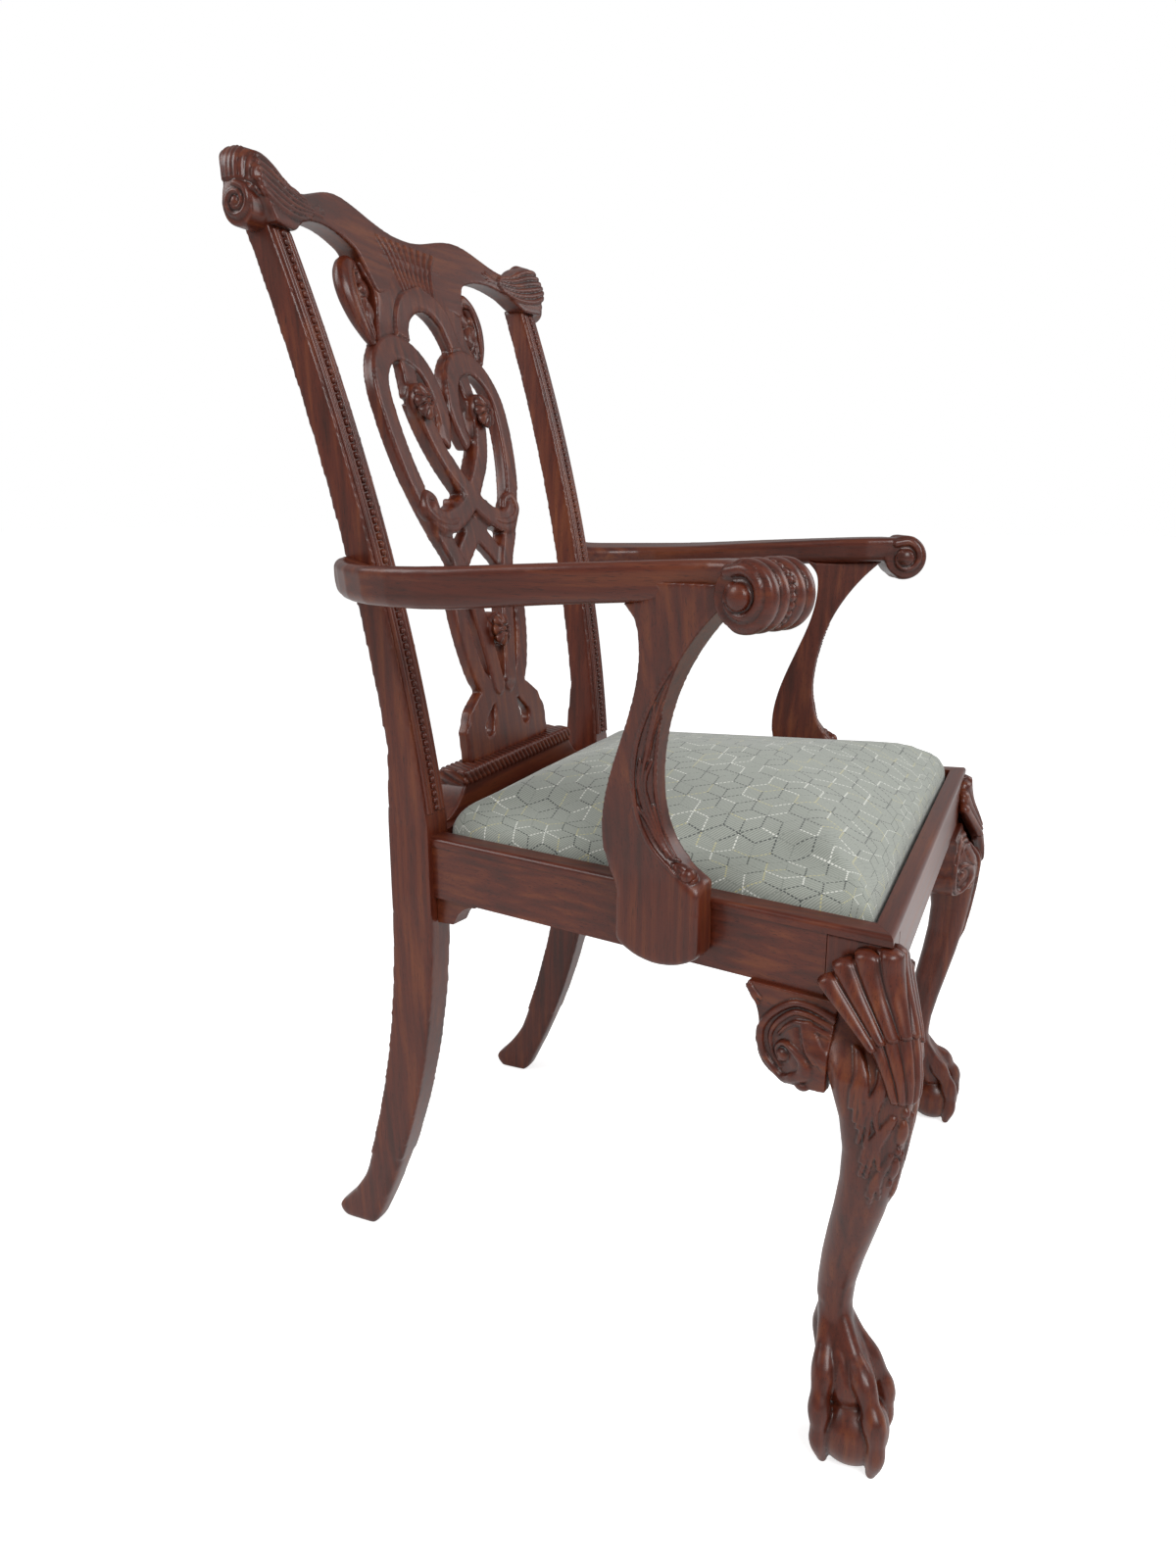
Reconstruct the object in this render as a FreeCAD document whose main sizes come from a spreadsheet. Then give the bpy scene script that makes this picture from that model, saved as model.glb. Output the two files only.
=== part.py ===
"""Carver armchair: interlaced splat, scrolled arms, cabriole legs on ball-and-claw feet.

Millimetres. +Z is up, the chair faces -Y and the origin lies on the floor under its middle.
The pieces of the sitter's left side stand at +X and are mirrored to the right side.
"""
import FreeCAD
import Part
import Sketcher
import math
import os
import re

from FreeCAD import Placement, Rotation, Vector

SIZES = (
    # Seat rails
    ("seat_front_y", -274.71, "front face of the front rail"),
    ("seat_height", 440.0, "floor to the top of the seat rails"),
    ("seat_front_width", 548.0, "over the side rails at the front corners"),
    ("seat_rear_width", 404.0, "over the side rails where they meet the posts"),
    ("seat_depth", 414.0, "front rail's face to the posts' front faces"),
    ("rail_height", 57.0, "seat rail, top to bottom"),
    ("rail_thickness", 30.0, "seat rail, outside to inside"),
    ("rebate_depth", 20.0, "from the rail's top down to the ledge under the seat"),
    ("side_lip_width", 19.0, "lip beside the seat on the side rails"),
    ("front_lip_width", 14.0, "lip before the seat on the front rail"),
    ("lip_height", 8.0, "thumb moulding along the top of the rails"),
    ("lip_overhang", 1.5, "how far the thumb moulding stands proud"),
    ("rear_lip_width", 41.0, "rear rail behind the seat"),
    ("rear_ledge_width", 15.0, "rear rail's ledge under the seat"),
    ("rear_ledge_gap", 8.0, "rear rail's ledge stops this far short of the posts"),
    # Joints
    ("tenon_thickness", 10.0, "tenons of the seat rails"),
    ("tenon_height", 30.0, "tenons of the seat rails"),
    ("tenon_length", 22.0, "tenons of the seat rails"),
    ("tenon_inset", 12.0, "tenon's outer cheek behind the rail's face"),
    ("joint_clearance", 0.2, "play of a tenon or dowel in its mortise"),
    ("seat_clearance", 0.3, "loose seat above its ledge"),
    ("seat_side_clearance", 1.0, "loose seat inside its rebate"),
    # Rear posts
    ("post_gap", 346.0, "between the posts at the seat"),
    ("post_width", 36.0, "post at the seat, across"),
    ("post_depth", 42.0, "post at the seat, front to back"),
    ("post_block_rise", 10.0, "square part of the post above the seat rails"),
    ("post_rise", 508.0, "seat rails' top to the shoulder under the crest rail"),
    ("post_top_width", 30.0, "post under the crest rail, across"),
    ("post_top_depth", 24.0, "post under the crest rail, front to back"),
    ("post_waist_depth", 29.0, "post just above its square part"),
    ("post_waist_rise", 70.0, "the post is slim from here up, above its square part"),
    ("post_spread", 34.0, "inner face of the post runs out this far by the top"),
    ("back_rake", 110.0, "post top behind the post's front face at the seat"),
    ("back_rake_middle", 38.0, "the same half way up"),
    ("rear_leg_sweep", 96.0, "toe of the rear foot behind the post's front face"),
    ("rear_leg_sweep_middle", 24.0, "the same half way down"),
    ("rear_leg_depth", 41.0, "rear leg half way down, front to back"),
    ("rear_foot_depth", 37.0, "rear foot on the floor, front to back"),
    ("rear_heel_height", 14.0, "roundest point of the heel"),
    ("rear_heel_reach", 8.0, "heel behind the flat of the foot"),
    ("rear_ankle_height", 60.0, "where the heel starts to flare"),
    ("rear_ankle_depth", 36.0, "rear leg above the heel"),
    ("rear_foot_width", 28.0, "rear foot across"),
    ("rear_foot_tuck", 13.0, "inner face of the foot inside the post's"),
    # Crest rail
    ("crest_thickness", 24.0, "front to back"),
    ("crest_sagitta", 15.0, "middle of the crest behind its ends"),
    ("crest_lean", 17.0, "degrees that the crest leans back"),
    ("crest_dip_rise", 35.0, "top of the crest in the middle, above the shoulders"),
    ("crest_hump_rise", 51.0, "top of the humps above the shoulders"),
    ("crest_hump_x", 104.0, "middle to the top of a hump"),
    ("crest_valley_rise", 33.0, "top of the crest beside the ears, above the shoulders"),
    ("crest_valley_x", 190.0, "middle to the valley beside an ear"),
    ("crest_span", 512.0, "over the ears"),
    ("ear_rise", 54.0, "top of the ears above the shoulders"),
    ("ear_top_inset", 18.0, "top of an ear inside the crest's end"),
    ("ear_volute_radius", 13.0, "scroll at the end of an ear"),
    ("ear_tip_radius", 8.0, "rolled top of an ear"),
    ("ear_width", 26.0, "scroll of an ear, across"),
    ("crest_arch_rise", 10.0, "hollow of the crest's underside"),
    ("crest_neck_width", 160.0, "crest over the splat"),
    ("splat_joint_drop", 2.0, "shoulder of the splat below the posts' shoulders"),
    ("crest_tenon_height", 16.0, "tenons of the posts and the splat in the crest"),
    # Splat and shoe
    ("splat_setback", 20.0, "splat's front behind the posts' front line"),
    ("splat_thickness", 12.0, "straps from front to back"),
    ("strap_width", 23.0, "straps of the splat"),
    ("strap_step", 2.0, "one strap above the strap that it crosses"),
    ("strap_trim", 0.6, "edge left beside the raised face of a strap"),
    ("loop_width", 244.0, "over the two upper loops"),
    ("loop_gap", 2.0, "between the two upper loops"),
    ("oval_width", 150.0, "over the lower oval"),
    ("splat_foot_rise", 47.0, "underside of the lower oval above the shoe"),
    ("bow_width", 190.0, "over the ends of the bow"),
    ("bow_rise", 120.0, "middle of the bow's ends above the lower rosette"),
    ("rosette_gap", 115.0, "between the middles of the upper rosettes"),
    ("upper_rosette_rise", 100.0, "middle of the upper rosettes above the bow's ends"),
    ("low_rosette_rise", 78.0, "middle of the lower rosette above the oval's underside"),
    ("rosette_radius", 17.0, "carved rosettes"),
    ("rosette_rise", 7.0, "rosettes above the straps"),
    ("splat_base_width", 174.0, "foot of the splat over the shoe"),
    ("shoe_height", 40.0, "shoe above the rear rail"),
    ("shoe_width", 238.0, "moulded top of the shoe"),
    ("shoe_foot_width", 330.0, "flared foot of the shoe"),
    ("shoe_depth", 30.0, "front to back"),
    ("shoe_bead_height", 12.0, "gadrooned moulding of the shoe"),
    ("shoe_front", 11.0, "shoe's front behind the posts' front faces"),
    ("splat_tenon_height", 10.0, "foot of the splat in the shoe"),
    # Front legs
    ("stump_size", 46.0, "square top of the front leg"),
    ("knee_reach", 24.0, "knee outside the faces of the stump"),
    ("knee_width", 63.0, "leg at the knee"),
    ("knee_round", 11.0, "corners of the leg at the knee"),
    ("knee_top_reach", 14.4, "knee outside the faces of the stump, under the rails"),
    ("knee_top_round", 6.0, "corners of the leg under the rails"),
    ("calf_reach", 21.6, "leg outside the stump's faces between knee and shin"),
    ("calf_width", 47.0, "leg between knee and shin"),
    ("knee_drop", 38.0, "fullest point of the knee below the rails"),
    ("shin_drop", 138.0, "middle of the shin below the rails"),
    ("shin_width", 39.0, "leg at the middle of the shin"),
    ("shin_reach", 14.0, "shin's outside beyond the stump's face"),
    ("low_shin_reach", -2.0, "the same between shin and ankle"),
    ("low_shin_width", 33.5, "leg between shin and ankle"),
    ("leg_round", 13.0, "corners of the leg below the knee"),
    ("ankle_height", 112.0, "slimmest point of the leg"),
    ("ankle_width", 28.0, "leg at the ankle"),
    ("ankle_tuck", 13.0, "ankle's outside inside the stump's face"),
    ("ball_radius", 29.0, "ball of the foot"),
    ("ball_sink", 2.0, "flat cut off the ball's underside"),
    ("ball_tuck", 3.5, "ball's middle inside the stump's outer faces"),
    ("foot_neck_reach", 2.5, "leg outside the stump's faces over the ball"),
    ("foot_neck_width", 37.7, "leg over the ball"),
    ("claw_root_height", 96.0, "where the claws leave the ankle"),
    ("claw_root_radius", 8.5, "claw at the ankle"),
    ("claw_knuckle_radius", 7.5, "claw at its knuckle"),
    ("claw_tip_radius", 4.0, "talon at the floor"),
    # Brackets
    ("bracket_length", 58.0, "knee bracket along the rail"),
    ("bracket_height", 73.0, "knee bracket below the rail"),
    ("bracket_thickness", 30.0, "knee bracket, outside to inside"),
    ("bracket_proud", 5.0, "knee bracket before the rail's face"),
    ("bracket_scroll_radius", 24.0, "scroll of the knee bracket"),
    ("rear_bracket_length", 44.0, "bracket under the side rail at the post"),
    ("rear_bracket_height", 28.0, "bracket under the side rail at the post"),
    ("rear_bracket_thickness", 20.0, "bracket under the side rail at the post"),
    ("corner_block_length", 70.0, "corner blocks along the rails"),
    ("corner_block_height", 30.0, "corner blocks"),
    ("corner_block_drop", 3.0, "corner blocks below the ledge"),
    # Arms
    ("arm_rise", 254.0, "seat rails' top to the top of the arm at its scroll"),
    ("arm_drop", 8.0, "arm's top lower than that at its bend"),
    ("arm_thickness", 31.0, "arm, top to bottom"),
    ("arm_width", 42.0, "arm, across"),
    ("arm_dish", 9.0, "inner edge of the arm below its outer edge"),
    ("arm_spread", 576.0, "between the middles of the arms"),
    ("arm_end_spread", 606.0, "between the middles of the scrolls"),
    ("arm_reach", 322.0, "scroll's middle before the posts' front faces"),
    ("arm_bend", 14.0, "arm's bend in front of the posts' front faces"),
    ("arm_root_depth", 52.0, "arm's middle at the post, behind the post's front face"),
    ("arm_root_width", 28.0, "arm at the post, front to back"),
    ("drum_radius", 22.0, "scroll at the end of the arm"),
    ("drum_width", 52.0, "scroll, across"),
    ("drum_turn", 21.0, "degrees that the scroll turns outward"),
    ("eye_radius", 9.0, "round eye at the scroll's ends"),
    ("eye_rise", 3.0, "eye above the scroll's end"),
    # Arm supports
    ("support_front", 137.0, "foot of the support behind the front corner, along the rail"),
    ("support_foot_length", 74.0, "foot of the support along the rail"),
    ("support_foot_thickness", 26.0, "foot of the support before the rail's face"),
    ("support_foot_drop", 55.0, "foot of the support below the rail's top"),
    ("support_foot_rise", 16.0, "foot's front corner above the rail's top"),
    ("support_belly", 12.0, "hollow of the support's front above its foot"),
    ("support_waist_length", 30.0, "support at its waist, along the rail"),
    ("support_waist_drop", 149.0, "waist of the support below the top of the arm"),
    ("support_waist_back", 110.6, "back of the waist behind the middle of the scroll"),
    ("support_neck_length", 34.0, "support under the arm, along the rail"),
    ("support_neck_drop", 66.0, "neck of the support below the top of the arm"),
    ("support_neck_back", 82.6, "back of the neck behind the middle of the scroll"),
    ("support_head_length", 96.0, "support where it meets the arm, along the rail"),
    ("support_head_back", 92.6, "back of the head behind the middle of the scroll"),
    ("support_lean", 30.0, "support's top outside its foot"),
    ("support_top_thickness", 32.0, "support under the arm, across"),
    # Fasteners
    ("screw_radius", 2.2, "wood screws"),
    ("screw_head_radius", 4.4, "wood screws"),
    ("screw_head_height", 3.0, "wood screws"),
    ("screw_length", 42.0, "wood screws, below the head"),
    ("dowel_radius", 5.0, "dowels"),
    ("dowel_length", 40.0, "dowels"),
    ("arm_dowel_depth", 16.0, "dowel of the arm inside the post"),
    # Drop-in seat
    ("frame_rail_width", 52.0, "rails of the drop-in seat's frame"),
    ("frame_rail_thickness", 19.0, "rails of the drop-in seat's frame"),
    ("frame_corner_cut", 6.0, "corners cut off the drop-in seat's frame"),
    ("cover_thickness", 2.0, "cover cloth with its lining"),
    ("seat_crown", 64.0, "middle of the seat above the rails"),
    ("seat_shoulder", 26.0, "seat above the rails near its edge"),
    ("seat_shoulder_inset", 26.0, "how far the shoulder lies inside the edge"),
    ("seat_corner_radius", 14.0, "corners of the seat in plan"),
    ("seat_draw_in", 2.0, "sides of the seat drawn in between its corners"),
    ("webbing_width", 50.0, "webbing straps"),
    ("webbing_thickness", 1.4, "webbing straps"),
    ("webbing_pitch", 85.0, "between the middles of the lengthwise straps"),
    ("webbing_cross_pitch", 83.0, "between the middles of the crosswise straps"),
    ("webbing_turn_in", 13.0, "webbing's ends inside the edge of the frame"),
    ("cloth_thickness", 1.0, "base cloth and dust cover"),
    ("base_cloth_inset", 9.0, "base cloth inside the edge of the frame"),
    ("dust_cover_inset", 28.0, "dust cover inside the edge of the seat's frame"),
    ("layer_gap", 0.2, "between the layers of the drop-in seat"),
)

doc = FreeCAD.newDocument("carver_armchair")
sheet = doc.addObject("Spreadsheet::Sheet", "Sizes")
for row, (alias, value, meaning) in enumerate(SIZES, start=1):
    sheet.set("A%d" % row, meaning)
    sheet.set("B%d" % row, str(value))
    sheet.setAlias("B%d" % row, alias)
doc.recompute()

NODES = []
UP = Vector(0, 0, 1)
ACROSS = Vector(1, 0, 0)
BACKWARD = Vector(0, 1, 0)
FAR = 2000.0
FUZZ = 0.01


def size(alias):
    """Read one driving dimension from the sheet."""
    return float(sheet.get(alias))


def add_node(label, shape):
    """Add a finished sub-part to the document under its own label."""
    feature = doc.addObject("Part::Feature", label)
    feature.Label = label
    feature.Shape = shape
    feature.Placement = Placement()
    NODES.append(feature)
    return feature


def add_pair(label, shape):
    """Add a left sub-part and its mirror image on the right."""
    add_twin(label, add_node(label + "_left", shape))


def add_twin(label, left):
    """Add the mirror image of a left sub-part."""
    twin = doc.addObject("Part::Mirroring", label + "_right")
    twin.Label = label + "_right"
    twin.Source = left
    twin.Normal = ACROSS
    NODES.append(twin)


def bound(formula):
    """Write a formula of driving dimensions as an expression on the sheet."""
    aliases = {alias for alias, _, _ in SIZES}
    return re.sub("[a-z_]+", lambda word: "Sizes." * (word[0] in aliases) + word[0], formula)


def number(formula):
    """Value of a formula of driving dimensions."""
    return float(sheet.evalExpression(bound(formula)))


def add_padded_body(label, layers):
    """Add a body of padded polygons: each layer's corners, level and height are formulas."""
    body = doc.addObject("PartDesign::Body", label)
    body.Label = label
    plane = [item for item in body.Origin.OriginFeatures if item.Role == "XY_Plane"][0]
    for corners, level, height in layers:
        sketch = body.newObject("Sketcher::SketchObject", label + "_outline")
        sketch.AttachmentSupport = [(plane, "")]
        sketch.MapMode = "FlatFace"
        sketch.setExpression("AttachmentOffset.Base.z", bound(level))
        spots = [Vector(number(x), number(y), 0) for x, y in corners]
        for start, end in zip(spots, spots[1:] + spots[:1]):
            sketch.addGeometry(Part.LineSegment(start, end))
        for index in range(len(spots)):
            following = (index + 1) % len(spots)
            sketch.addConstraint(Sketcher.Constraint("Coincident", index, 2, following, 1))
        for index, (x, y) in enumerate(corners):
            for kind, formula in (("DistanceX", x), ("DistanceY", y)):
                place = sketch.addConstraint(Sketcher.Constraint(kind, -1, 1, index, 1, number(formula)))
                sketch.setExpression("Constraints[%d]" % place, bound(formula))
        pad = body.newObject("PartDesign::Pad", label + "_pad")
        pad.Profile = sketch
        pad.setExpression("Length", bound(height))
        sketch.Visibility = False
    doc.recompute()
    return body


def add_drilled(label, body, holes):
    """Add a sub-part: a body with some holes cut out of it."""
    drill = doc.addObject("Part::Feature", label + "_holes")
    drill.Shape = Part.makeCompound(holes)
    cut = doc.addObject("Part::Cut", label)
    cut.Label = label
    cut.Base = body
    cut.Tool = drill
    doc.recompute()
    NODES.append(cut)
    return cut


def add_boxes(label, boxes):
    """Add a sub-part of boxes, each given by formulas for its low corner and its extents."""
    members = []
    for corner, extents in boxes:
        box = doc.addObject("Part::Box", label + "_strap")
        for name, formula in zip(("x", "y", "z"), corner):
            box.setExpression("Placement.Base." + name, bound(formula))
        for name, formula in zip(("Length", "Width", "Height"), extents):
            box.setExpression(name, bound(formula))
        members.append(box)
    group = doc.addObject("Part::Compound", label)
    group.Label = label
    group.Links = members
    NODES.append(group)


# Formulas of places that several bodies share
BACK_AT = "(seat_front_y + seat_depth)"
SIDE_SLOPE = "((seat_rear_width - seat_front_width) / 2 / seat_depth)"
STUMP_X_AT = "(seat_front_width / 2 - stump_size)"
STUMP_Y_AT = "(seat_front_y + stump_size)"
REAR_LIP_AT = "(%s + seat_clearance)" % BACK_AT
LEDGE_AT = "(seat_height - rebate_depth)"
BLOCK_AT = "(%s - corner_block_drop - corner_block_height)" % LEDGE_AT
SEAT_AT = "(%s + seat_clearance)" % LEDGE_AT
SEAT_TOP_AT = "(%s + frame_rail_thickness + layer_gap)" % SEAT_AT
SEAT_SKIN = "(seat_side_clearance + cover_thickness + seat_draw_in + layer_gap)"
SEAT_FRONT_AT = "(seat_front_y + front_lip_width + %s)" % SEAT_SKIN
SEAT_REAR_AT = "(%s - %s)" % (BACK_AT, SEAT_SKIN)


def side_at(y, inset):
    """Formula for where a line inside the left side rail's face crosses a depth."""
    run = "seat_front_width / 2 + %s * (%s - seat_front_y)" % (SIDE_SLOPE, y)
    return "(%s - (%s) * sqrt(1 + %s * %s))" % (run, inset, SIDE_SLOPE, SIDE_SLOPE)


def seat_side_at(y, inset):
    """Formula for a line inside the left edge of the loose seat's frame."""
    return side_at(y, "side_lip_width + %s + %s" % (SEAT_SKIN, inset))


def mirrored(shape):
    """Mirror a shape in the chair's middle plane."""
    return shape.mirror(Vector(0, 0, 0), ACROSS)


def prism(points, direction):
    """Extrude the polygon through some points."""
    return Part.Face(Part.makePolygon(list(points) + [points[0]])).extrude(direction)


def block(low, high):
    """Make the box between two corners."""
    return Part.makeBox(high.x - low.x, high.y - low.y, high.z - low.z, low)


def line(start, end):
    """Make a straight edge."""
    return Part.LineSegment(start, end).toShape()


def arc(start, middle, end):
    """Make a round edge through three points."""
    return Part.Arc(start, middle, end).toShape()


def rounded_rectangle(width, height, radius, place):
    """Make a rectangle with round corners about the origin of a placement's XY plane."""
    x = width / 2
    y = height / 2
    cut = radius * (1 - math.sqrt(0.5))
    edges = []
    for sx, sy in ((1, 1), (-1, 1), (-1, -1), (1, -1)):
        across = Vector(sx * (x - radius), sy * y, 0)
        corner = Vector(sx * (x - cut), sy * (y - cut), 0)
        along = Vector(sx * x, sy * (y - radius), 0)
        first, last = (along, across) if sx * sy > 0 else (across, along)
        if edges:
            edges.append(line(edges[-1].Vertexes[-1].Point, first))
        edges.append(arc(first, corner, last))
    edges.append(line(edges[-1].Vertexes[-1].Point, edges[0].Vertexes[0].Point))
    wire = Part.Wire(edges)
    wire.Placement = place
    return wire


def smooth_course(values, places):
    """Curve through some values, each of them reached at its own place."""
    curve = Part.BSplineCurve()
    curve.interpolate(Points=values, Parameters=places)
    return curve


def spaced(first, last, count):
    """Evenly spaced numbers from the first to the last."""
    return [first + (last - first) * index / (count - 1) for index in range(count)]


def circle_wire(radius, centre, direction):
    """Make a round section across a direction."""
    return Part.Wire(Part.Circle(centre, direction, radius).toShape())


# Shared places
FRONT = size("seat_front_y")
BACK = FRONT + size("seat_depth")
TOP = size("seat_height")
RAIL_LOW = TOP - size("rail_height")
LEDGE = TOP - size("rebate_depth")
LIP_LOW = TOP - size("lip_height")
CORNER = Vector(size("seat_front_width") / 2, FRONT, 0)
SIDE_END = Vector(size("seat_rear_width") / 2, BACK, 0)
ALONG = (SIDE_END - CORNER).normalize()
OUTWARD = Vector(ALONG.y, -ALONG.x, 0)
STUMP_X = CORNER.x - size("stump_size")
STUMP_Y = FRONT + size("stump_size")
POST_IN = size("post_gap") / 2
POST_OUT = POST_IN + size("post_width")
BLOCK_HIGH = TOP + size("post_block_rise")
POST_TOP = TOP + size("post_rise")
SPLAT_FOOT = TOP + size("shoe_height")
SPLAT_TOP = POST_TOP - size("splat_joint_drop")
OVAL_LOW = SPLAT_FOOT + size("splat_foot_rise")
LOW_ROSETTE = OVAL_LOW + size("low_rosette_rise")
BOW = LOW_ROSETTE + size("bow_rise")
ROSETTE = BOW + size("upper_rosette_rise")
KNEE = RAIL_LOW - size("knee_drop")
SHIN = RAIL_LOW - size("shin_drop")
ARM_TOP = TOP + size("arm_rise")
SCROLL_ALONG = (size("seat_depth") - size("arm_reach")) / ALONG.y
PLAY = size("joint_clearance")


def beside(along, outward, height=0.0):
    """Place a point by its distance along the side rail and outward from its face."""
    return CORNER + ALONG * along + OUTWARD * outward + UP * height


def side_x(y, inset):
    """Find where a line inside the side rail's face crosses a depth."""
    start = CORNER - OUTWARD * inset
    return start.x + ALONG.x / ALONG.y * (y - start.y)


def post_front(z):
    """Depth of the posts' front line at a height."""
    return RakedLine(0.0, 0.0).value((z - BLOCK_HIGH) / (POST_TOP - BLOCK_HIGH))


class RakedLine:
    """Raked line of the back, a parabola from the seat over the middle to the top."""

    def __init__(self, setback, growth):
        self.setback = setback
        self.growth = growth

    def value(self, share):
        """Depth at a share of the height between the posts' square part and their top."""
        bow = 4 * size("back_rake_middle") - size("back_rake")
        rake = bow * share + (size("back_rake") - bow) * share * share
        return BACK + self.setback + self.growth * share + rake

    def point(self, z):
        """Point of the line at a height."""
        return Vector(0, self.value((z - BLOCK_HIGH) / (POST_TOP - BLOCK_HIGH)), z)

    def edge(self, low, high):
        """Round edge of the line between two heights."""
        return arc(self.point(low), self.point((low + high) / 2), self.point(high))


# Seat rails
def rail_profile(place, lip_width):
    """Section of a moulded seat rail: X runs inward from its face, Y runs up."""
    hang = -size("lip_overhang")
    thick = size("rail_thickness")
    nose = size("lip_height") / 2
    corners = [Vector(0, RAIL_LOW, 0), Vector(0, LIP_LOW, 0), Vector(hang, LIP_LOW, 0)]
    corners += [Vector(hang, TOP - nose, 0), Vector(hang + nose, TOP, 0), Vector(lip_width, TOP, 0)]
    corners += [Vector(lip_width, LEDGE, 0), Vector(thick, LEDGE, 0), Vector(thick, RAIL_LOW, 0)]
    round_middle = corners[3] + Vector(nose * (1 - math.sqrt(0.5)), nose * math.sqrt(0.5), 0)
    edges = [line(a, b) for a, b in zip(corners, corners[1:] + corners[:1])]
    edges[3] = arc(corners[3], round_middle, corners[4])
    face = Part.Face(Part.Wire(edges))
    face.Placement = place
    return face


def lip_corner():
    """Inner corner of the mitred lips over the left front leg."""
    y = FRONT + size("front_lip_width")
    return Vector(side_x(y, size("side_lip_width")), y, 0)


def tenon_spans():
    """Heights of the bottom and the top of the seat rails' tenons."""
    middle = (RAIL_LOW + LEDGE) / 2
    return middle - size("tenon_height") / 2, middle + size("tenon_height") / 2


def front_rail_tenon(play):
    """Tenon of the front rail in the left leg, larger by the play."""
    low, high = tenon_spans()
    y = FRONT + size("tenon_inset")
    return block(
        Vector(STUMP_X, y - play, low - play),
        Vector(STUMP_X + size("tenon_length") + play, y + size("tenon_thickness") + play, high + play),
    )


def side_rail_tenons(play):
    """Tenons of the left side rail in the front leg and the post, larger by the play."""
    low, high = tenon_spans()
    long = size("tenon_length")
    thick = size("tenon_thickness")
    front_x = side_x(STUMP_Y, size("tenon_inset"))
    rear_x = side_x(BACK, size("tenon_inset"))
    front = block(
        Vector(front_x - thick - play, STUMP_Y - long - play, low - play),
        Vector(front_x + play, STUMP_Y, high + play),
    )
    rear = block(
        Vector(rear_x - thick - play, BACK, low - play),
        Vector(rear_x + play, BACK + long + play, high + play),
    )
    return front, rear


def rear_rail_tenon(play):
    """Tenon of the rear rail in the left post, larger by the play."""
    low, high = tenon_spans()
    y = BACK + size("tenon_length") + 2 * PLAY + size("seat_clearance")
    return block(
        Vector(POST_IN, y - play, low - play),
        Vector(POST_IN + size("tenon_length") + play, y + size("tenon_thickness") + play, high + play),
    )


def mitre_wedge(keep_side):
    """Half space beside the mitre over the left front leg, kept for one of its two lips."""
    line_end = lip_corner()
    reach = (line_end - CORNER).normalize() * FAR
    far_corner = CORNER + reach
    if keep_side:
        third = far_corner + Vector(FAR, 0, 0)
        fourth = CORNER + Vector(FAR, 0, 0)
    else:
        third = far_corner - Vector(0, FAR, 0)
        fourth = CORNER - Vector(0, FAR, 0)
    start = CORNER - reach
    lifted = [point + UP * LIP_LOW for point in (start, far_corner, third, fourth)]
    return prism(lifted, UP * FAR)


def make_front_rail():
    """Front rail between the legs, its lip mitred over them."""
    place = Placement(Vector(-FAR / 2, FRONT, 0), Rotation(BACKWARD, UP, ACROSS, "XYZ"))
    bar = rail_profile(place, size("front_lip_width")).extrude(ACROSS * FAR)
    rail = bar.common(block(Vector(-STUMP_X, -FAR, 0), Vector(STUMP_X, FAR, FAR)))
    ends = bar.common(block(Vector(STUMP_X, -FAR, LIP_LOW), Vector(FAR, FAR, FAR)))
    ends = ends.common(mitre_wedge(False))
    holes = [hole for _, hole in front_block_screws()[:1]]
    left = rail.fuse([ends, front_rail_tenon(0)])
    rail = left.fuse(mirrored(left)).removeSplitter()
    return rail.cut(holes + [mirrored(hole) for hole in holes])


def make_side_rail():
    """Left side rail between leg and post, its lip mitred over the leg."""
    place = Placement(beside(-FAR / 2, 0), Rotation(OUTWARD * -1, UP, ALONG, "XYZ"))
    bar = rail_profile(place, size("side_lip_width")).extrude(ALONG * FAR)
    rail = bar.common(block(Vector(0, STUMP_Y, 0), Vector(FAR, BACK, FAR)))
    end = bar.common(block(Vector(0, -FAR, LIP_LOW), Vector(FAR, STUMP_Y, FAR)))
    end = end.common(mitre_wedge(True))
    rail = rail.fuse([end] + list(side_rail_tenons(0))).removeSplitter()
    holes = [front_block_screws()[1][1], rear_block_screws()[1][1]]
    holes += [hole for _, hole in support_screws()]
    return rail.cut(holes)


def make_rear_rail():
    """Rear rail between the posts, with the ledge under the seat."""
    lip_rear = "(%s + rear_lip_width)" % REAR_LIP_AT
    half = "post_gap / 2"
    lip = [("-" + half, REAR_LIP_AT), (half, REAR_LIP_AT), (half, lip_rear), ("-" + half, lip_rear)]
    ledge_front = "(%s - rear_ledge_width)" % REAR_LIP_AT
    end = "(post_gap / 2 - rear_ledge_gap)"
    ledge = [("-" + end, ledge_front), (end, ledge_front), (end, REAR_LIP_AT), ("-" + end, REAR_LIP_AT)]
    low = "seat_height - rail_height"
    body = add_padded_body("rear_rail_bar", [
        (lip, low, "rail_height"),
        (ledge, low, "rail_height - rebate_depth"),
    ])
    pin = rear_rail_tenon(0)
    hole = rear_block_screws()[0][1]
    rail = body.Shape.fuse([pin, mirrored(pin)]).removeSplitter()
    return rail.cut([hole, mirrored(hole)])


# Screws and corner blocks
def screw(head, direction):
    """Wood screw whose head ends at a point, and the hole that it needs."""
    radius = size("screw_radius")
    shank = Part.makeCylinder(radius, size("screw_length"), head, direction)
    cap = Part.makeCone(
        radius, size("screw_head_radius"), size("screw_head_height"),
        head, direction * -1,
    )
    bore = Part.makeCylinder(radius + PLAY, size("screw_length") + PLAY, head, direction)
    sink = Part.makeCone(
        radius + PLAY, size("screw_head_radius") + PLAY, size("screw_head_height"),
        head, direction * -1,
    )
    mouth = Part.makeCylinder(
        size("screw_head_radius") + PLAY, FAR / 20,
        head - direction * size("screw_head_height"), direction * -1,
    )
    return shank.fuse(cap).removeSplitter(), bore.fuse([sink, mouth])


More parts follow.
